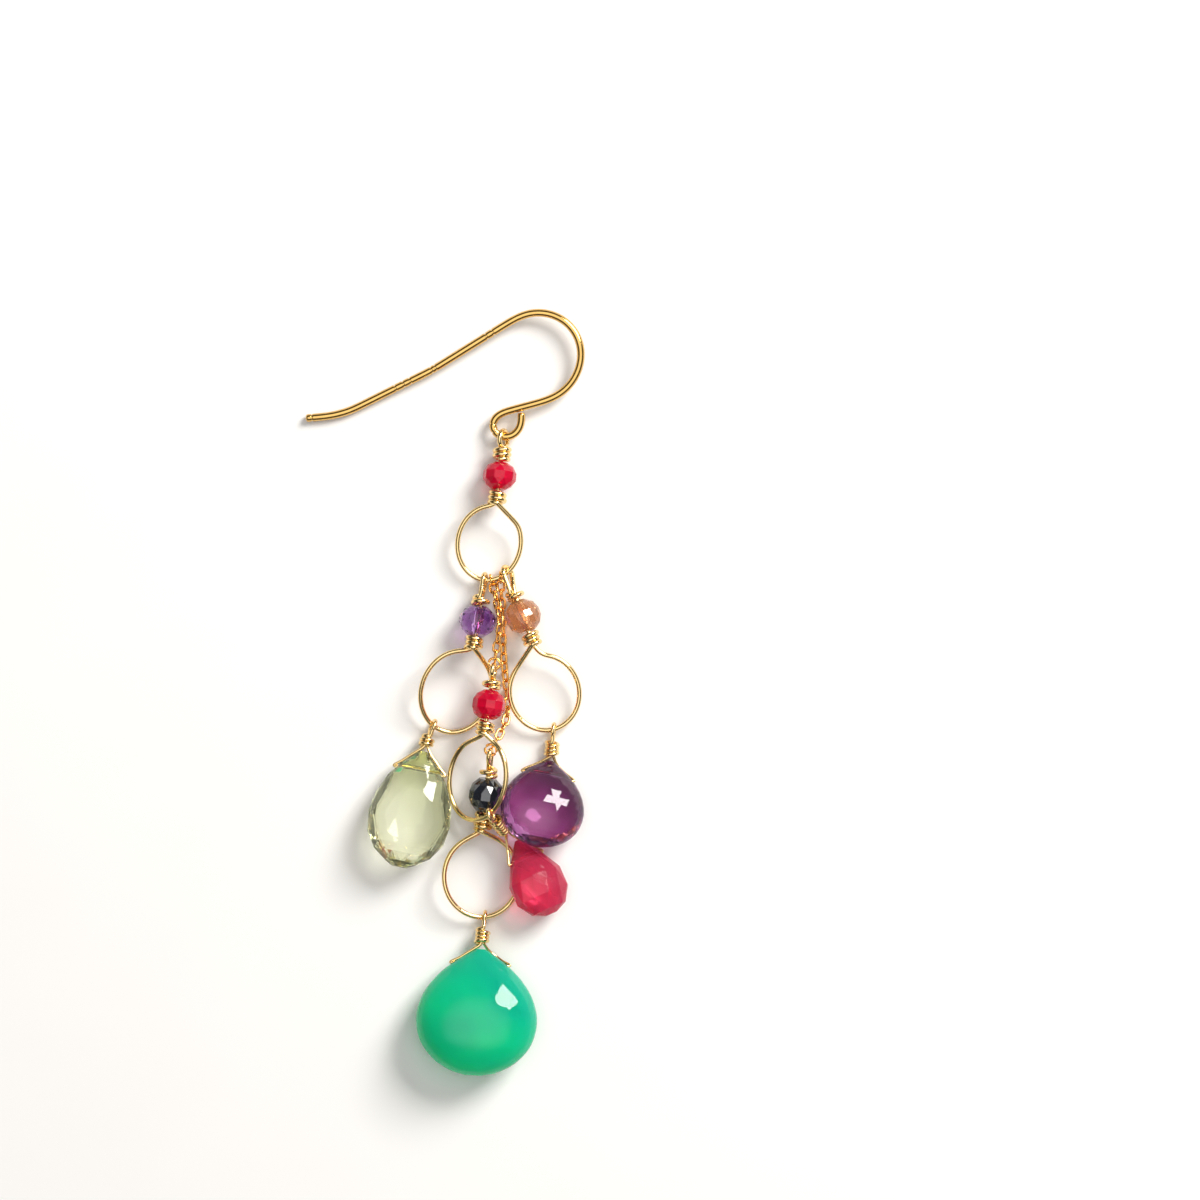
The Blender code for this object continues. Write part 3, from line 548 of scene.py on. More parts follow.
def carried_link(wires, style, start, route, bead, rise, under=None):
    """A link whose loop hangs in the last link of a chain."""
    held = wires.chain_wire
    radius = loop_radius(wires, wires.link_wire, held)
    axis = heading_axis(style["heading"], rise)
    last_x, last_y, _ = route[-1]
    loop = start + Vector((last_x, last_y, 0.0)) + heading_axis(style["heading"]) * radius
    link = Link(wires, style, held, bead, loop, rise=rise)
    middle = on_axis(link.frame, link.bead_middle)
    height = bead_rest(wires, bead[0])
    if under is not None:
        height = height_over(wires, under, middle, style["heading"], bead)
    loop.z = height - axis.z * link.bead_middle
    return Link(wires, style, held, bead, loop, rise=rise)


def hook_points(wires):
    """Centre line of the ear hook, finely stepped, with its eye's lower wire over the origin."""
    points = [Vector((0.0, 0.0, 0.0))]
    turned = HOOK_START_HEADING
    for length, turn in HOOK_BENDS:
        steps = max(1, round(abs(turn) / HOOK_STEP_TURN))
        for step in range(steps):
            middle = math.radians(turned + turn * (step + 0.5) / steps)
            move = Vector((math.cos(middle), math.sin(middle), 0.0)) * (length / steps)
            points.append(points[-1] + move)
        turned += turn
    eye = min(points[-HOOK_EYE_POINTS:], key=lambda point: point.y).copy()
    eye.x -= HOOK_EYE_SIDE
    points = [point - eye for point in points]
    height = eye_height(wires)
    slope = (HOOK_TIP_HEIGHT - height) / points[0].x
    for point in points:
        point.z = height + slope * point.x
    return points


def eye_height(wires):
    radius = loop_radius(wires, wires.link_wire, wires.hook_wire)
    return radius + wires.link_wire / 2 + wires.floor_gap


def load_height(wires, wire):
    """Height of a ring's wire where a loop of another wire hangs on it and clears the table."""
    return loop_radius(wires, wire, wires.link_wire) + (wire / 2 + wires.floor_gap)


class Layout:
    """Every place on the earring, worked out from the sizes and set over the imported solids."""

    def __init__(self, scene):
        wires = scene.earring_wires
        rings = scene.earring_rings
        beads = scene.earring_beads
        stones = scene.earring_stones
        self.hook = hook_points(wires)
        link_load = load_height(wires, wires.link_wire)
        drop_load = load_height(wires, wires.drop_wire)

        eye = Vector((0.0, 0.0, eye_height(wires)))
        eye += heading_axis(TOP_LINK["heading"]) * wires.loop_slack
        rest = bead_rest(wires, beads.top[0])
        top = Link(wires, TOP_LINK, wires.hook_wire, beads.top, eye, rest)
        top_ring = Ring(top.top, rings.top, TOP_RING, AMETHYST_HOOK, link_load)

        left = hung_link(wires, top_ring, AMETHYST_HOOK, AMETHYST_LINK, beads.amethyst)
        left_ring = Ring(left.top, rings.left, LEFT_RING, PRASIOLITE_HOOK, drop_load)
        right = hung_link(wires, top_ring, PEACH_HOOK, PEACH_LINK, beads.peach)
        right_ring = Ring(right.top, rings.right, RIGHT_RING, PURPLE_HOOK, drop_load)

        long_start = top_ring.point(LONG_CHAIN_HOOK)
        low = carried_link(wires, BLUE_LINK, long_start, LONG_CHAIN_ROUTE, beads.blue, BLUE_RISE)
        low_ring = Ring(low.top, rings.low, LOW_RING, ONYX_HOOK, drop_load)

        short_start = top_ring.point(SHORT_CHAIN_HOOK)
        middle = carried_link(
            wires, RUBY_LINK, short_start, SHORT_CHAIN_ROUTE, beads.ruby, RUBY_RISE, left_ring
        )
        over_wraps = on_axis(low.frame, low.wraps_start)
        red_radius = loop_radius(wires, wires.drop_wire, wires.link_wire)
        red_reach = red_radius * RED_LOOP_LEAN + wires.drop_wire / 2
        wraps_top = over_wraps.z + WRAP_OUTSIDE * wires.link_wire
        red_load = wraps_top + wires.gap + red_reach + MIDDLE_RING_LIFT
        middle_ring = Ring(middle.top, rings.middle, MIDDLE_RING, RED_HOOK, red_load)

        self.links = {
            "top": (top, top_ring, Vector((1.0, 0.0, 0.0))),
            "amethyst": (left, left_ring, top_ring.direction(AMETHYST_HOOK)),
            "peach": (right, right_ring, top_ring.direction(PEACH_HOOK)),
            "blue": (low, low_ring, side_axis(BLUE_LINK["heading"])),
            "ruby": (middle, middle_ring, side_axis(RUBY_LINK["heading"])),
        }
        self.routes = {
            "short_chain": self.chain_route(short_start, SHORT_CHAIN_ROUTE, middle),
            "long_chain": self.chain_route(long_start, LONG_CHAIN_ROUTE, low),
        }
        hung = {
            "prasiolite": (EGG, PRASIOLITE_LIE, PRASIOLITE_BAIL, left_ring, PRASIOLITE_HOOK),
            "purple": (HEART, PURPLE_LIE, PURPLE_BAIL, right_ring, PURPLE_HOOK),
            "red": (PEAR, RED_LIE, RED_BAIL, middle_ring, RED_HOOK),
            "onyx": (HEART, ONYX_LIE, ONYX_BAIL, low_ring, ONYX_HOOK),
        }
        self.drops = {}
        for name, (outline, lie, bail, ring, hook) in hung.items():
            stone = Stone(outline, getattr(stones, name), lie, getattr(stones, name + "_hole"))
            self.drops[name] = Drop(wires, bail, ring, hook, stone)
        self.shift = self.to_packed(wires)

    def chain_route(self, start, table, link):
        points = [start + Vector((x, y, 0.0)) for x, y, _ in table]
        for point, (_, _, height) in zip(points, table):
            point.z = height
        points[0] = start
        points[-1] = on_axis(link.frame, -link.radius)
        return smooth_route(points, ROUTE_STEPS)

    def to_packed(self, wires):
        """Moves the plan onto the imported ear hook, whose box is known."""
        low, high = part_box("ear_hook")
        left = min(point.x for point in self.hook)
        top = max(point.y for point in self.hook) + wires.hook_wire / 2
        return Matrix.Translation((low[0] - left, high[1] - top, 0.0))


def linked(name, data):
    obj = bpy.data.objects.new(name, data)
    bpy.context.scene.collection.objects.link(obj)
    return obj


def linked_mesh(name, bm):
    mesh = bpy.data.meshes.new(name)
    bm.to_mesh(mesh)
    bm.free()
    return linked(name, mesh)


def new_piece(name, bm):
    """A piece with its place in its mesh, riding on the root body."""
    obj = linked_mesh(name, bm)
    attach(obj, ROOT)
    return obj


def dress(obj, material, node):
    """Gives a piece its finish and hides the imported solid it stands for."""
    obj.data.materials.append(material)
    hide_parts(node)


def evaluated_mesh(obj):
    """The mesh that a curve or a modifier makes, as plain data."""
    bpy.context.view_layer.update()
    graph = bpy.context.evaluated_depsgraph_get()
    return bpy.data.meshes.new_from_object(obj.evaluated_get(graph))


def add_wire(bm, points, diameter, roundness, cyclic=False):
    """Sweeps a round wire along points that carry their width, with its cut ends rounded off."""
    curve = bpy.data.curves.new("wire", "CURVE")
    curve.dimensions = "3D"
    curve.bevel_depth = diameter / 2
    curve.bevel_resolution = roundness
    curve.use_fill_caps = not cyclic
    spline = curve.splines.new("POLY")
    path = points if cyclic else round_ends(points, diameter)
    spline.points.add(len(path) - 1)
    for spot, point in zip(spline.points, path):
        spot.co = (*point.xyz, 1.0)
        spot.radius = point.w
    spline.use_cyclic_u = cyclic
    obj = linked("wire", curve)
    mesh = evaluated_mesh(obj)
    part = bmesh.new()
    part.from_mesh(mesh)
    bmesh.ops.remove_doubles(part, verts=part.verts, dist=diameter / 2000)
    bmesh.ops.recalc_face_normals(part, faces=part.faces)
    for face in part.faces:
        face.smooth = True
    part.to_mesh(mesh)
    part.free()
    bm.from_mesh(mesh)
    bpy.data.objects.remove(obj)
    bpy.data.curves.remove(curve)
    bpy.data.meshes.remove(mesh)


def round_ends(points, diameter):
    """Narrows each cut end, like a filed tip."""
    path = list(points)
    for end in (0, -1):
        tip = path[end]
        towards = path[1] if end == 0 else path[-2]
        inward = (towards.xyz - tip.xyz).normalized()
        added = []
        for share, width in FILED_END:
            spot = tip.xyz + inward * (share * diameter)
            added.append(Vector((*spot, width * tip.w)))
        reach = FILED_REACH * diameter
        if end == 0:
            rest = [point for point in path[1:] if (point.xyz - tip.xyz).length > reach]
            path = added + rest
        else:
            rest = [point for point in path[:-1] if (point.xyz - tip.xyz).length > reach]
            path = rest + added[::-1]
    return path


def winding(placed, first, second, start, step, turns, radius):
    """Turns of wire round a core, from one direction towards the other, stepping along it."""
    x = placed.col[0].xyz
    centre = placed.translation
    count = max(2, round(turns * WRAP_STEPS))
    points = []
    for k in range(count + 1):
        turn = turns * k / count
        angle = 2 * math.pi * turn
        out = first * math.cos(angle) + second * math.sin(angle)
        uneven = 1.0 + WRAP_SLACK * math.sin(WRAP_WAVER * turn + WRAP_SHIFT * centre.x / start)
        points.append(centre + x * (start + step * turn) + out * (radius * uneven))
    return points


def small_loop(placed, held, radius, neck, wire, turns, tilt):
    """A wrapped loop: the tail's turns from their cut end, then round the held wire to the core."""
    x = placed.col[0].xyz
    side = Matrix.Rotation(math.radians(tilt), 3, x) @ held.cross(x).normalized()
    up = x.cross(side)
    centre = placed.translation
    start = neck + WRAP_START * wire
    points = winding(
        placed, side, up, start, WRAP_STEP * wire, turns - 0.5, WRAP_RADIUS * wire
    )
    points.reverse()
    opening = math.degrees(math.acos(min(radius / max(neck, radius), NEAREST_TANGENT)))
    opening += LOOP_OPENING
    for k in range(LOOP_STEPS + 1):
        angle = math.radians(opening + (360.0 - 2 * opening) * k / LOOP_STEPS)
        points.append(centre + x * (radius * math.cos(angle)) + side * (radius * math.sin(angle)))
    points.append(centre + x * (neck + 0.5 * wire))
    return points


def link_wire_points(link, ring, held):
    """The whole wire of a link: loop, core through the bead, ring, and the turns that close it."""
    wire = link.wire
    style = link.style
    points = small_loop(
        link.frame, held, link.radius, link.neck, wire, style["turns_above"], style["tilt"]
    )
    points.append(on_axis(link.frame, link.bead_middle))
    hand = ring.style["hand"]
    first = ring.style["leave"]
    last = 360.0 - ring.style["close"]
    wraps = link.end - WRAP_START * wire
    up = link.frame.col[2].xyz
    away = link.frame.col[1].xyz * -hand
    turns = style["turns_below"] - 0.5
    closing = winding(
        link.frame, up, away, wraps, -WRAP_STEP * wire, turns, WRAP_RADIUS * wire
    )
    loop = [on_axis(link.frame, link.end - share * wire) for share in CORE_END]
    for k in range(RING_STEPS + 1):
        loop.append(ring.point(hand * (first + (last - first) * k / RING_STEPS)))
    loop.append(closing[0])
    points += relaxed(even_route(loop, RING_SPACING), RING_EASE)
    points += closing[1:]
    return with_width(smooth_route(points, CURVE_STEPS))


def drop_wire_points(drop):
    """The whole wire of a drop: loop, wraps, one leg down to the hole, through it and back up."""
    wire = drop.wire
    stone = drop.stone
    style = drop.style
    points = small_loop(
        drop.frame, drop.held, drop.radius, drop.neck, wire, style["turns"], BAIL_TILT
    )
    points.append(on_axis(drop.frame, drop.end - BAIL_CORE_END * wire))
    points = with_width(points)
    legs = LEG_WIDTH * wire
    depth = stone.hole_depth
    mouth = stone.half_width(depth)
    head_x = -drop.tip_gap
    head_y = -style["side"]
    path = []
    for hand in (-1, 1):
        leg = []
        under = style["under"] if hand > 0 else 0.0
        for share in LEG_SHARES:
            x = head_x + (depth - head_x) * share
            hug = stone.half_width(x) + LEG_HUG * legs if x > 0 else 0.0
            straight = head_y * hand + (mouth + 0.5 * legs - head_y * hand) * share
            leg.append(Vector((x, hand * max(hug, straight), -under * math.sin(math.pi * share))))
        turn = MOUTH_TURN * legs
        leg.append(Vector((depth - turn, hand * (mouth + turn), 0.0)))
        leg.append(Vector((depth, hand * (mouth - MOUTH_DEPTH * legs), 0.0)))
        if hand < 0:
            path = leg + [Vector((depth, 0.0, 0.0))]
        else:
            path += leg[::-1]
    points += with_width([stone.frame @ point for point in path], LEG_WIDTH)
    above, beside = BAIL_TAIL
    tail = drop.frame @ Vector((drop.end - above * wire, beside * wire, 0.0))
    points += with_width([tail], LEG_WIDTH)
    return smooth_route(points, CURVE_STEPS)


def faceted_hull(rows, facets):
    """A cut stone's facets: circles of corners, each a half facet on, closed by their hull."""
    bm = bmesh.new()
    for along, wide, thick, turn in rows:
        matrix = Matrix.Translation((along, 0.0, 0.0)) @ Matrix.Rotation(math.radians(90.0), 4, "Y")
        matrix = matrix @ Matrix.Diagonal((thick, wide, 1.0, 1.0))
        matrix = matrix @ Matrix.Rotation(2 * math.pi * turn / facets, 4, "Z")
        bmesh.ops.create_circle(bm, segments=facets, radius=1.0, matrix=matrix)
    made = bmesh.ops.convex_hull(bm, input=bm.verts)
    loose = [item for item in made["geom_interior"] if isinstance(item, bmesh.types.BMVert)]
    bmesh.ops.delete(bm, geom=loose, context="VERTS")
    stray = [e for e in bm.edges if not e.link_faces]
    bmesh.ops.delete(bm, geom=stray, context="EDGES")
    bmesh.ops.dissolve_limit(
        bm, angle_limit=math.radians(0.5), verts=bm.verts[:], edges=bm.edges[:]
    )
    return bm


def cut_flat(bm, origin, outward):
    """Cuts away what lies beyond a plane and closes the cut with one facet."""
    geometry = bm.verts[:] + bm.edges[:] + bm.faces[:]
    cut = bmesh.ops.bisect_plane(
        bm, geom=geometry, dist=1e-7, plane_co=origin, plane_no=outward, clear_outer=True
    )
    rim = [item for item in cut["geom_cut"] if isinstance(item, bmesh.types.BMEdge)]
    bmesh.ops.contextual_create(bm, geom=rim)


def polish_round(bm, turned, flats):
    """Small flats on a stone that is shaded round everywhere else."""
    for heading, lean, depth in flats:
        plan = Matrix.Rotation(math.radians(heading), 3, "Z")
        outward = turned @ (plan @ Matrix.Rotation(math.radians(lean), 3, "Y"))
        outward = outward @ Vector((0.0, 0.0, 1.0))
        top = max(vert.co.dot(outward) for vert in bm.verts)
        cut_flat(bm, outward * (top - depth), outward)
    for face in bm.faces:
        face.smooth = face.calc_area() < LEAST_FLAT
    for face in bm.faces:
        if not face.smooth:
            for edge in face.edges:
                edge.smooth = False


def soften_edges(bm, edge):
    bmesh.ops.recalc_face_normals(bm, faces=bm.faces)
    bmesh.ops.bevel(
        bm, geom=bm.edges[:], offset=edge / 2, offset_type="OFFSET", segments=1, profile=0.5,
        affect="EDGES", material=-1, clamp_overlap=True,
    )


def drilled(name, bm, placed, hole_frame, radius, length):
    """A stone with its hole: the cut is worked out once and kept in the mesh."""
    bmesh.ops.recalc_face_normals(bm, faces=bm.faces)
    bmesh.ops.transform(bm, matrix=placed, verts=bm.verts)
    stone = new_piece(name, bm)
    cutter_bm = bmesh.new()
    bmesh.ops.create_cone(
        cutter_bm, cap_ends=True, segments=HOLE_SIDES, radius1=radius, radius2=radius, depth=length
    )
    bmesh.ops.transform(cutter_bm, matrix=hole_frame, verts=cutter_bm.verts)
    cutter = linked_mesh(name + "_hole", cutter_bm)
    mesh = cutter.data
    cut = stone.modifiers.new("Hole", "BOOLEAN")
    cut.operation = "DIFFERENCE"
    cut.solver = "EXACT"
    cut.object = cutter
    finished = evaluated_mesh(stone)
    stone.modifiers.clear()
    old = stone.data
    stone.data = finished
    finished.name = name
    bpy.data.meshes.remove(old)
    bpy.data.objects.remove(cutter)
    bpy.data.meshes.remove(mesh)
    return stone


def new_material(name):
    mat = bpy.data.materials.new(name)
    mat.use_nodes = True
    nodes = mat.node_tree.nodes
    return mat, nodes, mat.node_tree.links, nodes["Principled BSDF"]


def object_noise(nodes, links, scale, detail=3.0, roughness=0.5):
    place = nodes.new("ShaderNodeTexCoord")
    noise = nodes.new("ShaderNodeTexNoise")
    noise.inputs["Scale"].default_value = scale
    noise.inputs["Detail"].default_value = detail
    noise.inputs["Roughness"].default_value = roughness
    links.new(place.outputs["Object"], noise.inputs["Vector"])
    return noise


def ramp(nodes, links, source, low, high, low_at=0.3, high_at=0.7):
    """A two-colour ramp on a grey source."""
    node = nodes.new("ShaderNodeValToRGB")
    node.color_ramp.elements[0].position = low_at
    node.color_ramp.elements[0].color = (*low, 1.0)
    node.color_ramp.elements[1].position = high_at
    node.color_ramp.elements[1].color = (*high, 1.0)
    links.new(source, node.inputs["Fac"])
    return node.outputs["Color"]


def span(nodes, links, source, low, high):
    """A number that runs from low to high with a grey source."""
    node = nodes.new("ShaderNodeMapRange")
    node.inputs["To Min"].default_value = low
    node.inputs["To Max"].default_value = high
    links.new(source, node.inputs["Value"])
    return node.outputs["Result"]


def bump(nodes, links, source, shader, strength, distance):
    node = nodes.new("ShaderNodeBump")
    node.inputs["Strength"].default_value = strength
    node.inputs["Distance"].default_value = distance
    links.new(source, node.inputs["Height"])
    links.new(node.outputs["Normal"], shader.inputs["Normal"])


def tinted(colour_value, share):
    return tuple(channel * share for channel in colour_value)


# Gold: scales of its tone, haze and marks, its darkest tone, roughness, and the marks' strength and
# depth. The finer the wire, the finer its marks
TONE_SCALE = 900.0
HAZE_SCALE = 3500.0
HOOK_MARKS = 1400.0
LINK_MARKS = 2600.0
BAIL_MARKS = 3600.0
CHAIN_MARKS = 5200.0
DARK_GOLD = 0.90
GOLD_ROUGHNESS = (0.07, 0.20)
MARK_BUMP = (0.18, 0.00006)

# Stones: the direction of the painted glow, which brightens each stone's colour on the side away
# from the key light, where along a drop its painted rim shade is centred, as a share of the length,
# and how their polish waves
PAINTED_GLOW_DIRECTION = (-0.66, -0.70, -0.20)
PAINTED_GLOW_RAMP = (0.15, 0.75)
PAINTED_MILKY_GLOW_RAMP = (0.15, 0.90)
PAINTED_RIM_MIDDLE = 0.55
PAINTED_RIM_RAMP = (0.05, 0.30)
POLISH_SCALE = 2200.0
CLEAR_BUMP = (0.015, 0.00002)
MILKY_BUMP = (0.04, 0.00003)
MILKY_ROUGHNESS = (0.03, 0.09)
MILKY_CLOUDS = 160.0


def polished_gold(name, base, mark_scale):
    """Gold-filled wire: bright, a little uneven from the pliers, with fine draw marks."""
    mat, nodes, links, shader = new_material(name)
    tone = object_noise(nodes, links, TONE_SCALE, detail=2.0)
    shade = ramp(nodes, links, tone.outputs["Fac"], tinted(base, DARK_GOLD), tuple(base))
    links.new(shade, shader.inputs["Base Color"])
    shader.inputs["Metallic"].default_value = 1.0
    haze = object_noise(nodes, links, HAZE_SCALE, detail=4.0)
    links.new(span(nodes, links, haze.outputs["Fac"], *GOLD_ROUGHNESS), shader.inputs["Roughness"])
    marks = object_noise(nodes, links, mark_scale, detail=3.0, roughness=0.6)
    bump(nodes, links, marks.outputs["Fac"], shader, *MARK_BUMP)
    return mat


def painted_glow_share(nodes, links, clouds, middle, reach):
    """A grey for a painted glow: it rises from a stone's side towards the key light to the far
    side, where the colour is painted brighter, and soft clouds are added to it.
    """
    place = nodes.new("ShaderNodeTexCoord")
    offset = nodes.new("ShaderNodeVectorMath")
    offset.operation = "SUBTRACT"
    offset.inputs[1].default_value = middle
    links.new(place.outputs["Object"], offset.inputs[0])
    along = nodes.new("ShaderNodeVectorMath")
    along.operation = "DOT_PRODUCT"
    along.inputs[1].default_value = Vector(PAINTED_GLOW_DIRECTION) / (2 * reach)
    links.new(offset.outputs["Vector"], along.inputs[0])
    mixed = nodes.new("ShaderNodeMath")
    mixed.operation = "ADD"
    links.new(along.outputs["Value"], mixed.inputs[0])
    links.new(clouds.outputs["Fac"], mixed.inputs[1])
    return mixed.outputs["Value"]


def rim_share(nodes, links, placed, length, width):
    """A grey that is white in the middle of a drop and dark at its outline, where painted rim shade
    darkens the colour.
    """
    place = nodes.new("ShaderNodeTexCoord")
    fitted = nodes.new("ShaderNodeMapping")
    fitted.vector_type = "TEXTURE"
    fitted.inputs["Location"].default_value = on_axis(placed, length * PAINTED_RIM_MIDDLE)
    fitted.inputs["Rotation"].default_value = placed.to_euler()
    fitted.inputs["Scale"].default_value = (length / 2, width / 2, length)
    links.new(place.outputs["Object"], fitted.inputs["Vector"])
    ball = nodes.new("ShaderNodeTexGradient")
    ball.gradient_type = "SPHERICAL"
    links.new(fitted.outputs["Vector"], ball.inputs["Vector"])
    return ball.outputs["Fac"]


def polished_stone(nodes, links, shader, transmission, refraction, gloss, roughness, waves):
    """A stone that lets light in, under a hard polish with a slight haze and waves."""
    shader.inputs["Transmission Weight"].default_value = transmission
    shader.inputs["IOR"].default_value = refraction
    shader.inputs["Specular IOR Level"].default_value = gloss
    polish = object_noise(nodes, links, POLISH_SCALE, detail=3.0)
    links.new(span(nodes, links, polish.outputs["Fac"], *roughness), shader.inputs["Roughness"])
    bump(nodes, links, polish.outputs["Fac"], shader, *waves)


def clear_stone(
    name, base, deep, transmission, roughness, refraction, gloss, cloud_scale, painted_glow, rim=None
):
    """A transparent cut stone: colour that deepens in soft clouds and is painted brighter on the
    side away from the key light, a painted glow; where a painted rim is given, its outline is
    darkened with painted shade.
    """
    mat, nodes, links, shader = new_material(name)
    clouds = object_noise(nodes, links, cloud_scale, detail=2.0)
    # Painted glow: the deep tone on the side towards the key light and in the clouds, the base tone
    # on the far side
    share = painted_glow_share(nodes, links, clouds, *painted_glow)
    shade = ramp(nodes, links, share, deep, tuple(base), *PAINTED_GLOW_RAMP)
    if rim is not None:
        # Painted rim shade: the colour is multiplied by a darker tone towards the drop's outline
        tone, placed, length, width = rim
        edge = rim_share(nodes, links, placed, length, width)
        rimmed = nodes.new("ShaderNodeMix")
        rimmed.data_type = "RGBA"
        rimmed.blend_type = "MULTIPLY"
        rimmed.inputs["Factor"].default_value = 1.0
        links.new(shade, rimmed.inputs["A"])
        tint = ramp(nodes, links, edge, tone, (1.0, 1.0, 1.0), *PAINTED_RIM_RAMP)
        links.new(tint, rimmed.inputs["B"])
        shade = rimmed.outputs["Result"]
    links.new(shade, shader.inputs["Base Color"])
    polished_stone(nodes, links, shader, transmission, refraction, gloss, roughness, CLEAR_BUMP)
    return mat


def milky_stone(name, base, painted_glow_colour, transmission, refraction, gloss, painted_glow):
    """A translucent stone: light soaks in and comes out softened, and its colour is painted
    brighter on the side away from the key light, a painted glow.
    """
    mat, nodes, links, shader = new_material(name)
    clouds = object_noise(nodes, links, MILKY_CLOUDS, detail=2.0)
    # Painted glow: the base tone towards the key light and in the clouds, the brighter tone on the
    # far side
    share = painted_glow_share(nodes, links, clouds, *painted_glow)
    shade = ramp(nodes, links, share, tuple(base), painted_glow_colour, *PAINTED_MILKY_GLOW_RAMP)
    links.new(shade, shader.inputs["Base Color"])
    shader.inputs["Subsurface Weight"].default_value = 0.7
    shader.inputs["Subsurface Radius"].default_value = (0.25, 1.0, 0.7)
    shader.inputs["Subsurface Scale"].default_value = 0.0030
    polished_stone(
        nodes, links, shader, transmission, refraction, gloss, MILKY_ROUGHNESS, MILKY_BUMP
    )
    return mat


def make_ear_hook(scene, layout):
    wires = scene.earring_wires
    bm = bmesh.new()
    route = relaxed(even_route(layout.hook, HOOK_SPACING), HOOK_EASE)
    points = with_width([layout.shift @ point for point in smooth_route(route, HOOK_CURVE_STEPS)])
    step = HOOK_SPACING / HOOK_CURVE_STEPS
    for distance in reversed(HOOK_NICKS):
        nearest = min(range(len(points)), key=lambda k: abs(k * step - distance))
        middle = points[nearest].copy()
        middle.w = NICK_WIDTH
        share = NICK_REACH / step
        before = points[nearest].lerp(points[nearest - 1], share)
        after = points[nearest].lerp(points[nearest + 1], share)
        points[nearest : nearest + 1] = [before, middle, after]
    add_wire(bm, points, wires.hook_wire, HOOK_ROUNDNESS)
    gold = polished_gold("ear_hook_gold", scene.earring_colours.hook_gold, HOOK_MARKS)
    dress(new_piece("polished_ear_hook", bm), gold, "ear_hook")


def make_link_wires(scene, layout):
    gold = polished_gold("link_gold", scene.earring_colours.gold, LINK_MARKS)
    for name, (link, ring, held) in layout.links.items():
        bm = bmesh.new()
        points = on_table(moved(layout.shift, link_wire_points(link, ring, held)), link.wire)
        add_wire(bm, points, link.wire, WIRE_ROUNDNESS)
        dress(new_piece(f"wrapped_{name}_link", bm), gold, f"{name}_link_wire")


DROP_NODES = {
    "prasiolite": "prasiolite_wire",
    "purple": "purple_drop_wire",
    "red": "red_drop_wire",
    "onyx": "onyx_drop_wire",
}


def make_drop_wires(scene, layout):
    gold = polished_gold("drop_wire_gold", scene.earring_colours.gold, BAIL_MARKS)
    for name, node in DROP_NODES.items():
        drop = layout.drops[name]
        bm = bmesh.new()
        points = on_table(moved(layout.shift, drop_wire_points(drop)), drop.wire)
        add_wire(bm, points, drop.wire, WIRE_ROUNDNESS)
        dress(new_piece(f"wrapped_{name}_bail", bm), gold, node)


def point_along(curve, distance):
    """The point at a distance along a curve, and the direction there."""
    for a, b in zip(curve, curve[1:]):
        step = (b - a).length
        if distance <= step:
            break
        distance -= step
    direction = (b - a).normalized()
    return a + direction * distance, direction


def route_frame(spot, direction, roll):
    y = Vector((0.0, 0.0, 1.0)).cross(direction).normalized()
    z = direction.cross(y)
    placed = Matrix((direction, y, z)).transposed().to_4x4()
    placed.translation = spot
    return placed @ Matrix.Rotation(math.radians(roll), 4, "X")


def link_outline(half_length, half_width):
    """A closed link with nearly straight sides and round ends, in its own X-Y plane."""
    straight = half_length - half_width
    points = []
    for centre, start in ((straight, -90.0), (-straight, 90.0)):
        for k in range(CHAIN_LINK_STEPS):
            angle = math.radians(start + 180.0 * k / (CHAIN_LINK_STEPS - 1))
            x = centre + half_width * math.cos(angle)
            points.append(Vector((x, half_width * math.sin(angle), 0.0)))
    return points


def make_chains(scene, layout):
    wires = scene.earring_wires
    gold = polished_gold("chain_gold", scene.earring_colours.chain_gold, CHAIN_MARKS)
    for name, curve in layout.routes.items():
        bm = bmesh.new()
        inner_end = wires.link_wire / 2 + wires.gap + wires.loop_slack / 2
        total = sum((b - a).length for a, b in zip(curve, curve[1:]))
        filled = total + wires.chain_bearing + 2 * inner_end
        count = round(filled / wires.chain_pitch)
        pitch = filled / count
        first = (pitch - wires.chain_bearing) / 2 - inner_end
        half_length = (pitch + wires.chain_wire - wires.chain_bearing) / 2
        end_half = wires.link_wire / 2 + wires.gap + wires.loop_slack + wires.chain_wire / 2
        plain_half = (wires.chain_width - wires.chain_wire) / 2
        drift = 180.0 if count % 2 == 0 else 90.0
        for k in range(count):
            spot, direction = point_along(curve, first + pitch * k)
            half_width = end_half if k in (0, count - 1) else plain_half
            placed = route_frame(spot, direction, 90.0 + 90.0 * k + drift * k / (count - 1))
            outline = link_outline(half_length, half_width)
            points = with_width([layout.shift @ placed @ point for point in outline])
            add_wire(bm, points, wires.chain_wire, CHAIN_ROUNDNESS, cyclic=True)
        dress(new_piece("linked_" + name, bm), gold, name)


# Bead outlines, as shares: of the half length, of the radius, and a turn in facets
ROUND_ROWS = (
    (-1.00, 0.42, 0.0),
    (-0.72, 0.78, 0.5),
    (-0.27, 0.98, 0.0),
    (0.27, 0.98, 0.0),
    (0.72, 0.78, 0.5),
    (1.00, 0.42, 0.0),
)
RONDELLE_ROWS = (
    (-1.00, 0.50, 0.5),
    (-0.66, 0.82, 0.0),
    (-0.22, 0.99, 0.5),
    (0.22, 0.99, 0.5),
    (0.66, 0.82, 0.0),
    (1.00, 0.50, 0.5),
)
TWISTED_ROWS = (
    (-1.00, 0.42, 0.0),
    (-0.66, 0.83, 0.5),
    (-0.22, 0.99, 1.1),
    (0.22, 0.99, 1.9),
    (0.66, 0.83, 2.5),
    (1.00, 0.42, 3.0),
)


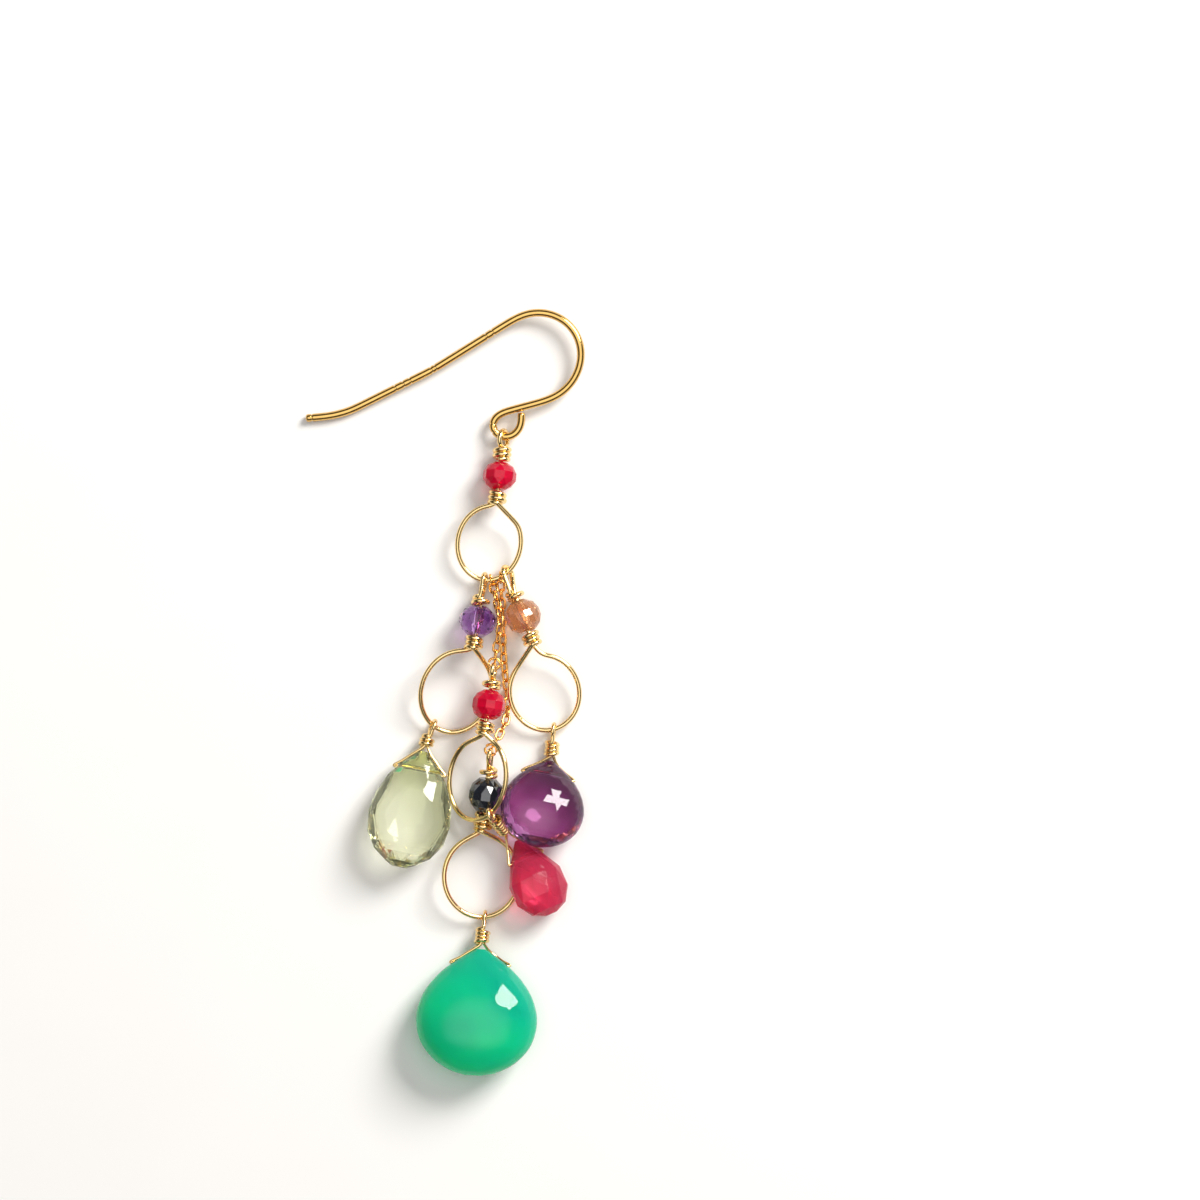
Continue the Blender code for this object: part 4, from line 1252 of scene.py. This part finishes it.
def make_beads(scene, layout):
    wires = scene.earring_wires
    stones = scene.earring_stones
    tints = scene.earring_colours
    # Each deep tone is the darker end of a bead's clouds and of its painted glow, on the side
    # towards the key light
    deep_ruby = tinted(tints.ruby, 0.72)
    deep_peach = tinted(tints.peach, 0.8)
    dark_slate = tinted(tints.slate, 0.4)
    ruby = (tints.ruby, deep_ruby, 0.45, (0.04, 0.12), 1.5, 0.35, 700.0)
    finishes = {
        "top": ("top_bead", "ruby_bead", ROUND_ROWS, 10, ("top_ruby", *ruby)),
        "ruby": ("ruby_bead", "ruby_bead", ROUND_ROWS, 11, ("ruby", *ruby)),
        "amethyst": (
            "amethyst_bead", "amethyst_bead", RONDELLE_ROWS, 11,
            ("amethyst", tints.amethyst, (0.26, 0.08, 0.36), 0.93, (0.0, 0.03), 1.6, 0.7, 600.0),
        ),
        "peach": (
            "peach_bead", "peach_bead", TWISTED_ROWS, 13,
            ("peach_crystal", tints.peach, deep_peach, 0.78, (0.0, 0.02), 1.6, 0.6, 600.0),
        ),
        "blue": (
            "blue_bead", "blue_bead", RONDELLE_ROWS, 12,
            ("slate_crystal", tints.slate, dark_slate, 0.25, (0.01, 0.04), 1.8, 0.8, 600.0),
        ),
    }
    for name, (node, slot, outline, facets, finish) in finishes.items():
        link, _, _ = layout.links[name]
        width, length = link.bead_size
        rows = []
        for along, out, turn in outline:
            rows.append((along * length / 2, out * width / 2, out * width / 2, turn))
        bm = faceted_hull(rows, facets)
        soften_edges(bm, stones.edge)
        placed = layout.shift @ link.frame @ Matrix.Translation((link.bead_middle, 0.0, 0.0))
        hole = placed @ Matrix.Rotation(math.radians(90.0), 4, "Y")
        radius = link.wire / 2 + wires.gap * HOLE_PLAY
        obj = drilled(f"cut_{node}", bm, placed, hole, radius, length * HOLE_REACH)
        # Each bead gets a painted glow, centred on the bead
        dress(obj, clear_stone(*finish, painted_glow=(placed.translation, width / 2)), node)


# How each stone is cut: facets round it, rows of facets, and the share of its thickness that stays
# below its flat face, where it has one
PRASIOLITE_CUT = dict(facets=18, rows=10, table=0.80)
PURPLE_CUT = dict(facets=42, rows=20, table=None)
RED_CUT = dict(facets=12, rows=7, table=None)
ONYX_CUT = dict(facets=72, rows=44, table=None)

# The milky stone is polished round but for a few flats: heading and lean of each from straight up,
# in degrees, and how deep it is cut
ONYX_FLATS = (
    (52.0, 25.0, 0.035e-3),
    (26.0, 26.0, 0.030e-3),
    (8.0, 30.0, 0.020e-3),
    (70.0, 31.0, 0.020e-3),
)
# Faces smaller than this are part of the round, in square metres
LEAST_FLAT = 0.35e-6


def outline_rows(stone, count):
    """Rows of corners on a smooth curve through the outline's shares."""
    points = [Vector(row) for row in stone.outline]
    curve = smooth_route(points, OUTLINE_STEPS)
    rows = []
    for k in range(count):
        share = 0.5 - 0.5 * math.cos(math.pi * k / (count - 1))
        after = next(n for n, point in enumerate(curve) if n > 0 and point.x >= share - 1e-9)
        before, end = curve[after - 1], curve[after]
        spot = before.lerp(end, (share - before.x) / (end.x - before.x))
        wide = spot.y * stone.width / 2
        thick = spot.z * stone.thickness / 2
        rows.append((spot.x * stone.length, wide, thick, 0.5 * (k % 2)))
    return rows


def make_stones(scene, layout):
    wires = scene.earring_wires
    stones = scene.earring_stones
    tints = scene.earring_colours
    finishes = {
        "prasiolite": ("prasiolite", PRASIOLITE_CUT, clear_stone),
        "purple": ("purple_stone", PURPLE_CUT, clear_stone),
        "red": ("red_stone", RED_CUT, clear_stone),
        "onyx": ("green_onyx", ONYX_CUT, milky_stone),
    }
    # Each deep tone, and the onyx's brighter tone, are the ends of a drop's clouds and of its
    # painted glow
    deep_purple = tinted(tints.purple, 0.5)
    deep_red = tinted(tints.red, 0.8)
    shades = {
        "prasiolite": (
            "prasiolite", tints.prasiolite, (0.95, 0.98, 0.76), 0.96, (0.0, 0.02), 1.50, 0.5, 220.0,
        ),
        "purple": (
            "purple_quartz", tints.purple, deep_purple, 0.95, (0.0, 0.02), 1.52, 0.14, 220.0,
        ),
        "red": ("red_stone", tints.red, deep_red, 0.66, (0.02, 0.06), 1.46, 0.16, 260.0),
        "onyx": ("green_onyx", tints.onyx, (0.008, 0.80, 0.36), 0.30, 1.42, 0.5),
    }
    # Painted rim shade: darker tones multiplied into the outlines of two drops
    rims = {"prasiolite": (0.86, 0.88, 0.54), "purple": (0.70, 0.55, 0.75)}
    for name, (slot, cut, make_finish) in finishes.items():
        stone = layout.drops[name].stone
        placed = layout.shift @ stone.frame
        bm = faceted_hull(outline_rows(stone, cut["rows"]), cut["facets"])
        if cut["table"] is not None:
            table = Vector((0.0, 0.0, cut["table"] * stone.thickness / 2))
            cut_flat(bm, table, Vector((0.0, 0.0, 1.0)))
        inverse = placed.inverted()
        floor = inverse @ Vector((placed.translation.x, placed.translation.y, 0.0))
        cut_flat(bm, floor, inverse.to_3x3() @ Vector((0.0, 0.0, -1.0)))
        if name == "onyx":
            polish_round(bm, placed.to_3x3().inverted(), ONYX_FLATS)
        else:
            soften_edges(bm, stones.edge)
        mouth = Matrix.Translation((stone.hole_depth, 0.0, 0.0))
        hole = placed @ mouth @ Matrix.Rotation(math.radians(90.0), 4, "X")
        radius = wires.drop_wire / 2 + wires.gap * HOLE_PLAY
        obj = drilled(f"cut_{name}_drop", bm, placed, hole, radius, stone.width * HOLE_REACH)
        middle = on_axis(placed, stone.length / 2)
        # Every drop gets a painted glow that brightens the side away from the key light
        finish = dict(painted_glow=(middle, stone.width / 2))
        # Some drops also get a painted rim shade at their outline
        if name in rims:
            finish["rim"] = (rims[name], placed, stone.length, stone.width)
        dress(obj, make_finish(*shades[name], **finish), f"{name}_drop")


# The photograph's view, as the plan point at its middle, the width of its frame and a far camera
VIEW_CENTRE = (0.0154, 0.00913)
VIEW_WIDTH = 0.120
CAMERA_HEIGHT = 0.70
SENSOR_WIDTH = 36.0
CAMERA_START = 0.01
TABLE_SIZE = 1.2
TABLE_DROP = 0.02e-3
TABLE_GRAIN = 60.0
DARK_TABLE = 0.985

# One soft key light, and a sky that is bright overhead with two dark bands: heights and colours
KEY_PLACE = (0.34, 0.33, 0.35)
KEY_SIZE = 0.26
KEY_POWER = 4.1
KEY_TINT = (1.0, 0.985, 0.96)
SKY_LOW = (0.16, (0.30, 0.295, 0.29))
SKY_HIGH = (0.96, (1.50, 1.49, 1.475))
SKY_BANDS = ((0.50, (0.04, 0.037, 0.034)), (0.74, (0.08, 0.075, 0.07)))


def table_material(tint):
    mat, nodes, links, shader = new_material("pale_table")
    grain = object_noise(nodes, links, TABLE_GRAIN, detail=2.0)
    shade = ramp(nodes, links, grain.outputs["Fac"], tinted(tint, DARK_TABLE), tuple(tint))
    links.new(shade, shader.inputs["Base Color"])
    shader.inputs["Roughness"].default_value = 0.55
    shader.inputs["Specular IOR Level"].default_value = 0.25
    return mat


def make_table(tint):
    bm = bmesh.new()
    bmesh.ops.create_grid(bm, x_segments=8, y_segments=8, size=TABLE_SIZE / 2)
    bmesh.ops.translate(bm, verts=bm.verts, vec=(*VIEW_CENTRE, -TABLE_DROP))
    table = linked_mesh("table", bm)
    table.data.materials.append(table_material(tint))


def make_key_light():
    light = bpy.data.lights.new("key_box", "AREA")
    light.shape = "RECTANGLE"
    light.size = light.size_y = KEY_SIZE
    light.energy = KEY_POWER
    light.color = KEY_TINT
    box = linked("key_box", light)
    box.location = KEY_PLACE
    box.rotation_euler = (-Vector(KEY_PLACE)).to_track_quat("-Z", "Y").to_euler()


def make_sky(scene):
    world = bpy.data.worlds.new("studio")
    world.use_nodes = True
    nodes = world.node_tree.nodes
    links = world.node_tree.links
    background = nodes["Background"]
    background.inputs["Strength"].default_value = 1.0
    direction = nodes.new("ShaderNodeTexCoord")
    height = nodes.new("ShaderNodeSeparateXYZ")
    links.new(direction.outputs["Generated"], height.inputs["Vector"])
    low_at, low = SKY_LOW
    high_at, high = SKY_HIGH
    sky = ramp(nodes, links, height.outputs["Z"], low, high, low_at, high_at)
    for place, dark in SKY_BANDS:
        band = sky.node.color_ramp.elements.new(place)
        band.color = (*dark, 1.0)
    links.new(sky, background.inputs["Color"])
    scene.world = world


def make_camera(scene):
    camera_data = bpy.data.cameras.new("camera")
    camera_data.sensor_width = SENSOR_WIDTH
    camera_data.lens = SENSOR_WIDTH * CAMERA_HEIGHT / VIEW_WIDTH
    camera_data.clip_start = CAMERA_START
    camera = linked("camera", camera_data)
    camera.location = (*VIEW_CENTRE, CAMERA_HEIGHT)
    scene.camera = camera
    scene.view_settings.view_transform = "Standard"


def make_stage(scene):
    make_table(scene.earring_colours.table)
    make_key_light()
    make_sky(scene)
    make_camera(scene)


class EARRING_OT_ear_hook(bpy.types.Operator):
    """Models the ear hook in round polished wire"""

    bl_idname = "earring.ear_hook"
    bl_label = "Ear Hook"

    def execute(self, context):
        make_ear_hook(context.scene, Layout(context.scene))
        return {"FINISHED"}


class EARRING_OT_link_wires(bpy.types.Operator):
    """Models the wrapped links with their rings"""

    bl_idname = "earring.link_wires"
    bl_label = "Wrapped Links"

    def execute(self, context):
        make_link_wires(context.scene, Layout(context.scene))
        return {"FINISHED"}


class EARRING_OT_chains(bpy.types.Operator):
    """Models the two fine chains"""

    bl_idname = "earring.chains"
    bl_label = "Chains"

    def execute(self, context):
        make_chains(context.scene, Layout(context.scene))
        return {"FINISHED"}


class EARRING_OT_drop_wires(bpy.types.Operator):
    """Models the wrapped wires that carry the drops"""

    bl_idname = "earring.drop_wires"
    bl_label = "Drop Wires"

    def execute(self, context):
        make_drop_wires(context.scene, Layout(context.scene))
        return {"FINISHED"}


class EARRING_OT_beads(bpy.types.Operator):
    """Models the faceted beads"""

    bl_idname = "earring.beads"
    bl_label = "Beads"

    def execute(self, context):
        make_beads(context.scene, Layout(context.scene))
        return {"FINISHED"}


class EARRING_OT_stones(bpy.types.Operator):
    """Models the faceted drops"""

    bl_idname = "earring.stones"
    bl_label = "Drops"

    def execute(self, context):
        make_stones(context.scene, Layout(context.scene))
        return {"FINISHED"}


class EARRING_OT_stage(bpy.types.Operator):
    """Sets the table, the lights and the camera"""

    bl_idname = "earring.stage"
    bl_label = "Stage"

    def execute(self, context):
        make_stage(context.scene)
        return {"FINISHED"}


PIECES = (
    EARRING_OT_ear_hook,
    EARRING_OT_link_wires,
    EARRING_OT_chains,
    EARRING_OT_drop_wires,
    EARRING_OT_beads,
    EARRING_OT_stones,
    EARRING_OT_stage,
)


class EARRING_PT_panel(bpy.types.Panel):
    bl_label = "Drop Earring"
    bl_idname = "EARRING_PT_panel"
    bl_space_type = "VIEW_3D"
    bl_region_type = "UI"
    bl_category = "Earring"

    def draw(self, context):
        for piece in PIECES:
            self.layout.operator(piece.bl_idname)


GROUPS = (
    ("earring_wires", WireSizes),
    ("earring_rings", RingSizes),
    ("earring_beads", BeadSizes),
    ("earring_stones", StoneSizes),
    ("earring_colours", Colours),
)


def register():
    for name, group in GROUPS:
        bpy.utils.register_class(group)
        setattr(bpy.types.Scene, name, bpy.props.PointerProperty(type=group))
    for piece in PIECES:
        bpy.utils.register_class(piece)
    bpy.utils.register_class(EARRING_PT_panel)


def unregister():
    bpy.utils.unregister_class(EARRING_PT_panel)
    for piece in reversed(PIECES):
        bpy.utils.unregister_class(piece)
    for name, group in reversed(GROUPS):
        delattr(bpy.types.Scene, name)
        bpy.utils.unregister_class(group)


def main():
    register()
    bpy.ops.earring.stage()
    bpy.ops.earring.ear_hook()
    bpy.ops.earring.link_wires()
    bpy.ops.earring.chains()
    bpy.ops.earring.drop_wires()
    bpy.ops.earring.beads()
    bpy.ops.earring.stones()


if __name__ == "__main__":
    main()
